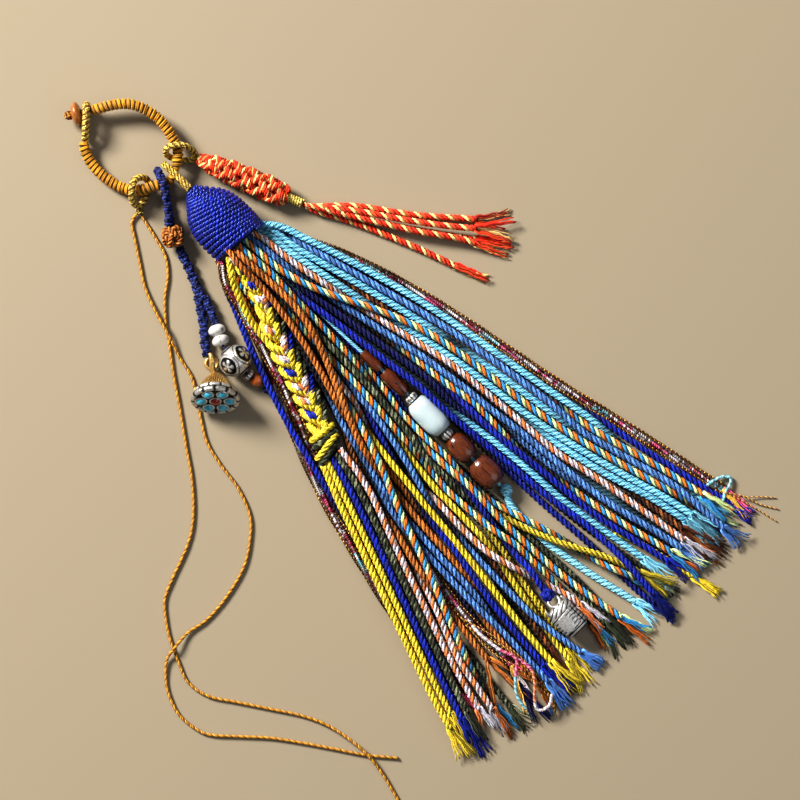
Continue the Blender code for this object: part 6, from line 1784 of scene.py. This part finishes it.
# %% Pod, skirt, collars and stones
# The middle of the face and the way it looks; then radius and height above the face,
# from the middle round the rim to the back, and the same of the gilt skirt.
POD_MIDDLE = (-51.9, -45.5, 9.55)
POD_FACE = (-0.604, -0.604, 0.52)
POD_RIM = (
    (0.05, -0.35), (2, -0.35), (4, -0.35), (6, -0.35), (7.6, -0.3), (8.2, 0), (8.9, 0.35), (9.6, 0.1),
    (9.9, -0.5), (9.8, -1.4), (9.4, -2.1), (9.1, -2.5), (9.3, -2.9), (9, -3.5), (8.2, -4.2), (7.2, -4.5),
    (3, -4.5), (0.05, -4.5),
)
POD_SKIRT = (
    (0, -4.2), (6.9, -4.2), (6.8, -5.6), (6.2, -7), (5.3, -8.6), (4, -10.4), (2.6, -11.8), (1.3, -12.8),
    (0, -12.8),
)
STONE_RING = 5.7  # from the red stone's middle to a turquoise one's
# X, Y, height and radius of the stalk's hook.
POD_STALK = (
    (-44.6, -37.8, 3, 1.3), (-43.9, -35.6, 3.9, 1.25), (-42.2, -33.6, 4.6, 1.1), (-40.6, -31.6, 4.7, 0.95),
    (-40.2, -30.2, 4.3, 0.75),
)
BAIL = (-42.4, -33.6, 1.2)
BAIL_RADIUS, BAIL_WIRE = 2.4, 0.7
PETALS = 12  # in each of the rim's two rows
STONE_DOME = ((1.95, 1.35), 0.1)  # half width and height of a stone's dome, and its foot
AXIS, FACE_X, FACE_Y = radial_frame(POD_FACE)
STONES = np.vstack((np.zeros(3), STONE_RING * round_points(turns(6), FACE_X, FACE_Y))) + np.array(POD_MIDDLE)


def smooth_profile(profile, spacing):
    """Even samples of the smooth outline through (radius, height) pairs."""
    return smooth_route([(r, h, 0.0) for r, h in profile], spacing)[:, :2]


def hoop(middle, radius, wire, way, steps=36, sides=10):
    """A closed wire:  middle + radius (cos a * e1 + sin a * e2)  about the given way."""
    way, e1, e2 = radial_frame(way)
    return tube(np.array(middle) + radius * round_points(turns(steps), e1, e2), wire, sides, way, cyclic=True)


def pod_body():
    """The turned outline.  Two rows of petals, half a petal apart, are waves
    |sin 6 a|^0.6 and |cos 6 a|^0.6 that push the rim in between them."""
    fine = smooth_profile(POD_RIM, 0.22)
    fine[:, 0] = np.maximum(fine[:, 0], 0.03)
    grid = revolve(fine, 168, POD_MIDDLE, POD_FACE)
    r, h = fine[:, :1], fine[:, 1:]
    angle = turns(168)[None]
    top = np.exp(-(((r - 9.0) / 1.0) ** 2)) * (h > -1.4)
    low = np.exp(-(((h + 3.3) / 1.0) ** 2)) * (h < -1.7)
    waves = [np.abs(wave(PETALS / 2 * angle)) ** 0.6 for wave in (np.sin, np.cos)]
    upper, lower = [np.clip((wave - 0.35) / 0.3, 0, 1) for wave in waves]
    rib = 0.5 + 0.5 * np.cos(4 * PETALS * angle)
    height = 0.25 + top * (0.75 * upper * (0.6 + 0.4 * rib)) + low * (0.75 * lower)
    seat = np.clip((7.7 - r) / 0.3, 0, 1) * (h > -1.0)
    height = np.where(seat > 0, 0.12 * seat + height * (1 - seat), height)
    out = unit(grid - on_axis(grid, POD_MIDDLE, AXIS))
    push = 0.35 * (top * (upper - 1.0) + low * (lower - 1.0))
    grid = grid + out * push[..., None] + AXIS * (0.25 * top * (upper - 1.0))[..., None]
    return grid, metal_dye(np.clip(height, 0, 1), SILVER_DYE)


def pod_charm():
    """Face with its collars, gilt skirt, ring with the stalk that holds it, and stones."""
    grid, dye = pod_body()
    collar_dye = np.array(SILVER_DYE) * 1.1
    collars = [(hoop(place - 0.05 * AXIS, 2.2, 0.36, AXIS, sides=8), collar_dye, True) for place in STONES]
    add_piece("pod_face", [(grid, dye, False)] + collars, SILVER, ["lotus_pod"], sharp=60)
    skirt = smooth_profile(POD_SKIRT[1:], 0.3)
    profile = np.vstack(([(0.05, POD_SKIRT[0][1])], skirt, [(0.05, POD_SKIRT[-1][1])]))
    grid, height = petals(revolve(profile, 144, POD_MIDDLE, POD_FACE), 48, 0.09, POD_MIDDLE, POD_FACE)
    dye = metal_dye(height, GILT_DYE, (0.10, 0.035, 0.008))
    add_piece("pod_gilt_skirt", [(grid, dye, False)], GILT, ["pod_skirt"], sharp=60)
    stalk = smooth_route(POD_STALK, 0.4)
    ring = (hoop(BAIL, BAIL_RADIUS, BAIL_WIRE, (0.1, 0.05, 1.0), 40), GILT_DYE, True)
    horn = (tube(stalk[:, :3], stalk[:, 3], 12), GILT_DYE, False)
    add_piece("pod_ring", [ring, horn], GILT, ["pod_bail"])
    (wide, high), foot = STONE_DOME
    dome = [(wide * math.cos(a), foot + high * math.sin(a)) for a in np.linspace(math.pi / 2 - 0.02, 0.0, 9)]
    dome = np.vstack((dome, [(1.85, -0.25), (0.04, -0.25)]))
    for number, place in enumerate(STONES):
        blue = (f"blue_stone_{number}", TURQUOISE, "turquoise", f"turquoise_{number}")
        name, material, slot, node = blue if number else ("middle_stone", RED_STONE, "red_stone", "red_stone")
        add_piece(name, [(revolve(dome, 32, place, AXIS), PLAIN, False)], material, [node])


pod_charm()

# %% [markdown]
# ## The small orange tassel
# Its plait is a round braid of red cord with a yellow ply, which swells in the
# middle.  Gold thread wraps the neck, and below it the same cords hang free and
# fray.

# %% Plait, wrap and fringe
ORANGE_PLAIT = (
    (11.8, 27.6, 4.4, 2.4, 2.4), (13.6, 22.8, 4.8, 3.8, 3.6), (16, 17, 4.9, 4.6, 4.3), (19, 9.6, 4.9, 5, 4.5),
    (22, 2, 4.9, 5.2, 4.5), (24.4, -4.2, 4.8, 5, 4.3), (25.95, -7.75, 4.6, 3.6, 3.4),
)
WRAP = ((26.05, -8.1, 4.5), (28.3, -14, 3.6))
WRAP_RADIUS = 1.9
ORANGE_FRINGE = (
    ((30.6, -18, 4.9), (41, -31, 4.9), (54, -49.6, 4.9), (67.5, -67, 4.9), (81.5, -82, 4.9)),
    ((30.6, -18, 3), (38.8, -31.8, 1.6), (51, -50.6, 1.6), (63.4, -68, 1.6), (76.6, -86.4, 1.6)),
    ((30.6, -18, 3), (42.8, -30, 1.6), (56.4, -48.4, 1.6), (70.8, -65, 1.6), (84, -80, 1.6)),
    ((30.6, -18, 4.9), (39.6, -33, 4.6), (52, -53, 4.4), (64.6, -71.4, 3.4), (72.6, -89.2, 1.6)),
    ((29.6, -19, 2.4), (36.6, -32, 1.6), (45, -51, 1.6), (51.4, -67.6, 1.6), (59, -90.4, 1.6)),
)
FLAME = [linear(240, 76, 30), linear(255, 216, 140), linear(228, 46, 18)]
PLAIT_DYES = (*FLAME, linear(250, 158, 88), FLAME[2])
WRAP_TURN, WRAP_THREAD = 1.05, 0.52  # pitch and radius of the gold whipping
FRINGE_FRAY = 16.0


def orange_plait(rng):
    """A round braid of eight cords on a plain core, painted dark as the shade between the cords."""
    rows = smooth_route(ORANGE_PLAIT, 0.5)
    tints = [[wander(colour, len(rows), 0.3, rng) for colour in PLAIT_DYES] for _ in range(4)]
    half, thick = 1.02 * rows[:, 3], 1.02 * rows[:, 4]
    grids = round_braid(rows[:, :3], half, thick, 30.0, 1.6, 4, tints, 6.0, swell=0.16)
    inner = smooth_route([row[:3] for row in ORANGE_PLAIT], 1.0)
    # painted shade: the dark core shows only between the strands
    grids.append((tube(inner, 2.2, 10), 0.3 * FLAME[2], False))
    add_piece("orange_plait", grids, COTTON, ["orange_braid"])


def gold_whipping():
    """One gold thread wound tight:  path + (R - r) (cos a * side + sin a * normal)."""
    path = smooth_route(WRAP, 0.05)
    out = round_points(FULL_TURN * lengths_along(path) / WRAP_TURN, *across(path))
    wrap = path + (WRAP_RADIUS - 0.5) * out
    thread = (tube(wrap, WRAP_THREAD, 8, unit(wrap - path)), THREAD_DYES[0], False)
    # a core painted dark as the shade between the turns
    core = (tube(path[::10], WRAP_RADIUS - 0.75, 12), THREAD_DYES[1] * 0.5, False)
    add_piece("gold_whipping", [thread, core], GOLD_THREAD, ["gold_wrap"])


def orange_fringe(rng):
    """Five cords that swell out of the whipping and fray at their ends."""
    grids = []
    neck = np.array(WRAP[1])
    for row in ORANGE_FRINGE:
        start = neck + (np.array(row[0]) - neck) * 0.12 + rng.normal(0, 0.25, 3)
        path = smooth_route([start, *row], STEP)
        path[:, 2] = np.maximum(path[:, 2], 1.5)
        path = cut_back(path, FRINGE_FRAY)
        radius = np.interp(lengths_along(path), (0.0, 7.0), (0.8, 1.5))
        dyes = [wander(colour, len(path), 0.12, rng) for colour in FLAME]
        grids += plied(path, radius, 6.4, dyes, phase=rng.uniform(0, 6))
        grids += frayed_end(path, dyes, FRINGE_FRAY, rng, 0.12, 4, 5)
    add_piece("orange_cords", grids, COTTON, ["orange_fringe"])


ORANGE_DRAWS = np.random.default_rng(11)
orange_plait(ORANGE_DRAWS)
gold_whipping()
orange_fringe(ORANGE_DRAWS)

# %% [markdown]
# ## The silver charm
# A small plain charm hangs on one royal blue cord: a square-shouldered barrel with
# a smooth panel, ribs, a banded foot, two small horns and a ring.  The cord ends in
# a knot above it.

# %% Charm and its ring
# Below the mouth, across and up.
CHARM_PLACE, CHARM_RING, CHARM_KNOT = (197, -13.8, 6.7), (188.4, -13, 7.4), (184.6, -12.9, 7.2)
CHARM_HALVES = (5.9, 7.2, 3.9)  # across, along and up
SHOULDER = 3.4  # power of the barrel's outline
CHARM_RELIEF = 0.07  # depth of its grooves, as a share of its width


def charm_height(t, x):
    """The pattern on the skin: a smooth round panel, ribs beside it, checks on one side,
    slanted ribs at the top and bands at the foot.  Height 0 to 1."""
    panel = np.clip((0.55 - np.hypot(1.1 * (x + 0.35), t - 0.15)) / 0.07, 0, 1)
    ribs = np.abs(np.sin(15.0 * t + 1.2 * x)) ** 0.7
    checks = (np.abs(np.sin(13.0 * t)) * np.abs(np.sin(13.0 * x))) ** 0.6
    height = panel * 0.9 + (1.0 - panel) * 0.8 * np.where(x > 0.5, checks, ribs)
    height = np.where(t < -0.45, 0.8 * np.abs(np.sin(12.0 * t + 6.0 * x)) ** 0.7, height)
    return np.where(t > 0.70, 0.8 * np.abs(np.sin(17.0 * t)) ** 1.2, height)


def charm():
    """A barrel of rows t = -1 (ring's end) to 1 (foot), with the half width
    (1 - |t|^3.4)^(1/3.4)  and nearly round slices; then its horns, ring and knot."""
    place = np.array(below(*CHARM_PLACE))
    t = np.sin(np.linspace(-math.pi / 2 + 0.03, math.pi / 2 - 0.03, 84))[:, None]
    half = (1.0 - np.abs(t) ** SHOULDER) ** (1 / SHOULDER)
    x, z = [half * np.sign(w) * np.abs(w) ** 0.8 for w in (np.cos(turns(120)), np.sin(turns(120)))]
    height = charm_height(t, x)
    r = 1.0 - CHARM_RELIEF * (1.0 - height)
    wide, long, thick = CHARM_HALVES
    grid = place + np.stack((wide * x * r, -long * t + 0 * x, thick * z * r), axis=-1)
    grids = [(grid, metal_dye(height, SILVER_DYE), False)]
    for aside in (-3.9, 3.9):
        bends = ((aside, 5.4, 1.2), (1.18 * aside, 6.8, 1.8), (1.1 * aside, 8.4, 1.8))
        horn = smooth_route([place + bend for bend in bends], 0.3)
        grids.append((tube(horn, np.linspace(1.0, 0.45, len(horn)), 8), np.array(SILVER_DYE) * 0.8, False))
    add_piece("charm_body", grids, SILVER, ["silver_charm"])
    ring = hoop(below(*CHARM_RING), 2.3, 0.7, (0.1, 0.35, 1.0))
    add_piece("charm_ring", [(ring, SILVER_DYE, True)], SILVER, ["charm_bail"])
    dyes = [dye[0] for dye in ply_dyes("royal blue", 8, np.random.default_rng(9))]
    knot = turks_head(below(*CHARM_KNOT), 1.9, 0.95, (0.1, -1.0, 0.0), dyes)
    add_piece("charm_knot", knot, COTTON, ["main_tassel"])


charm()
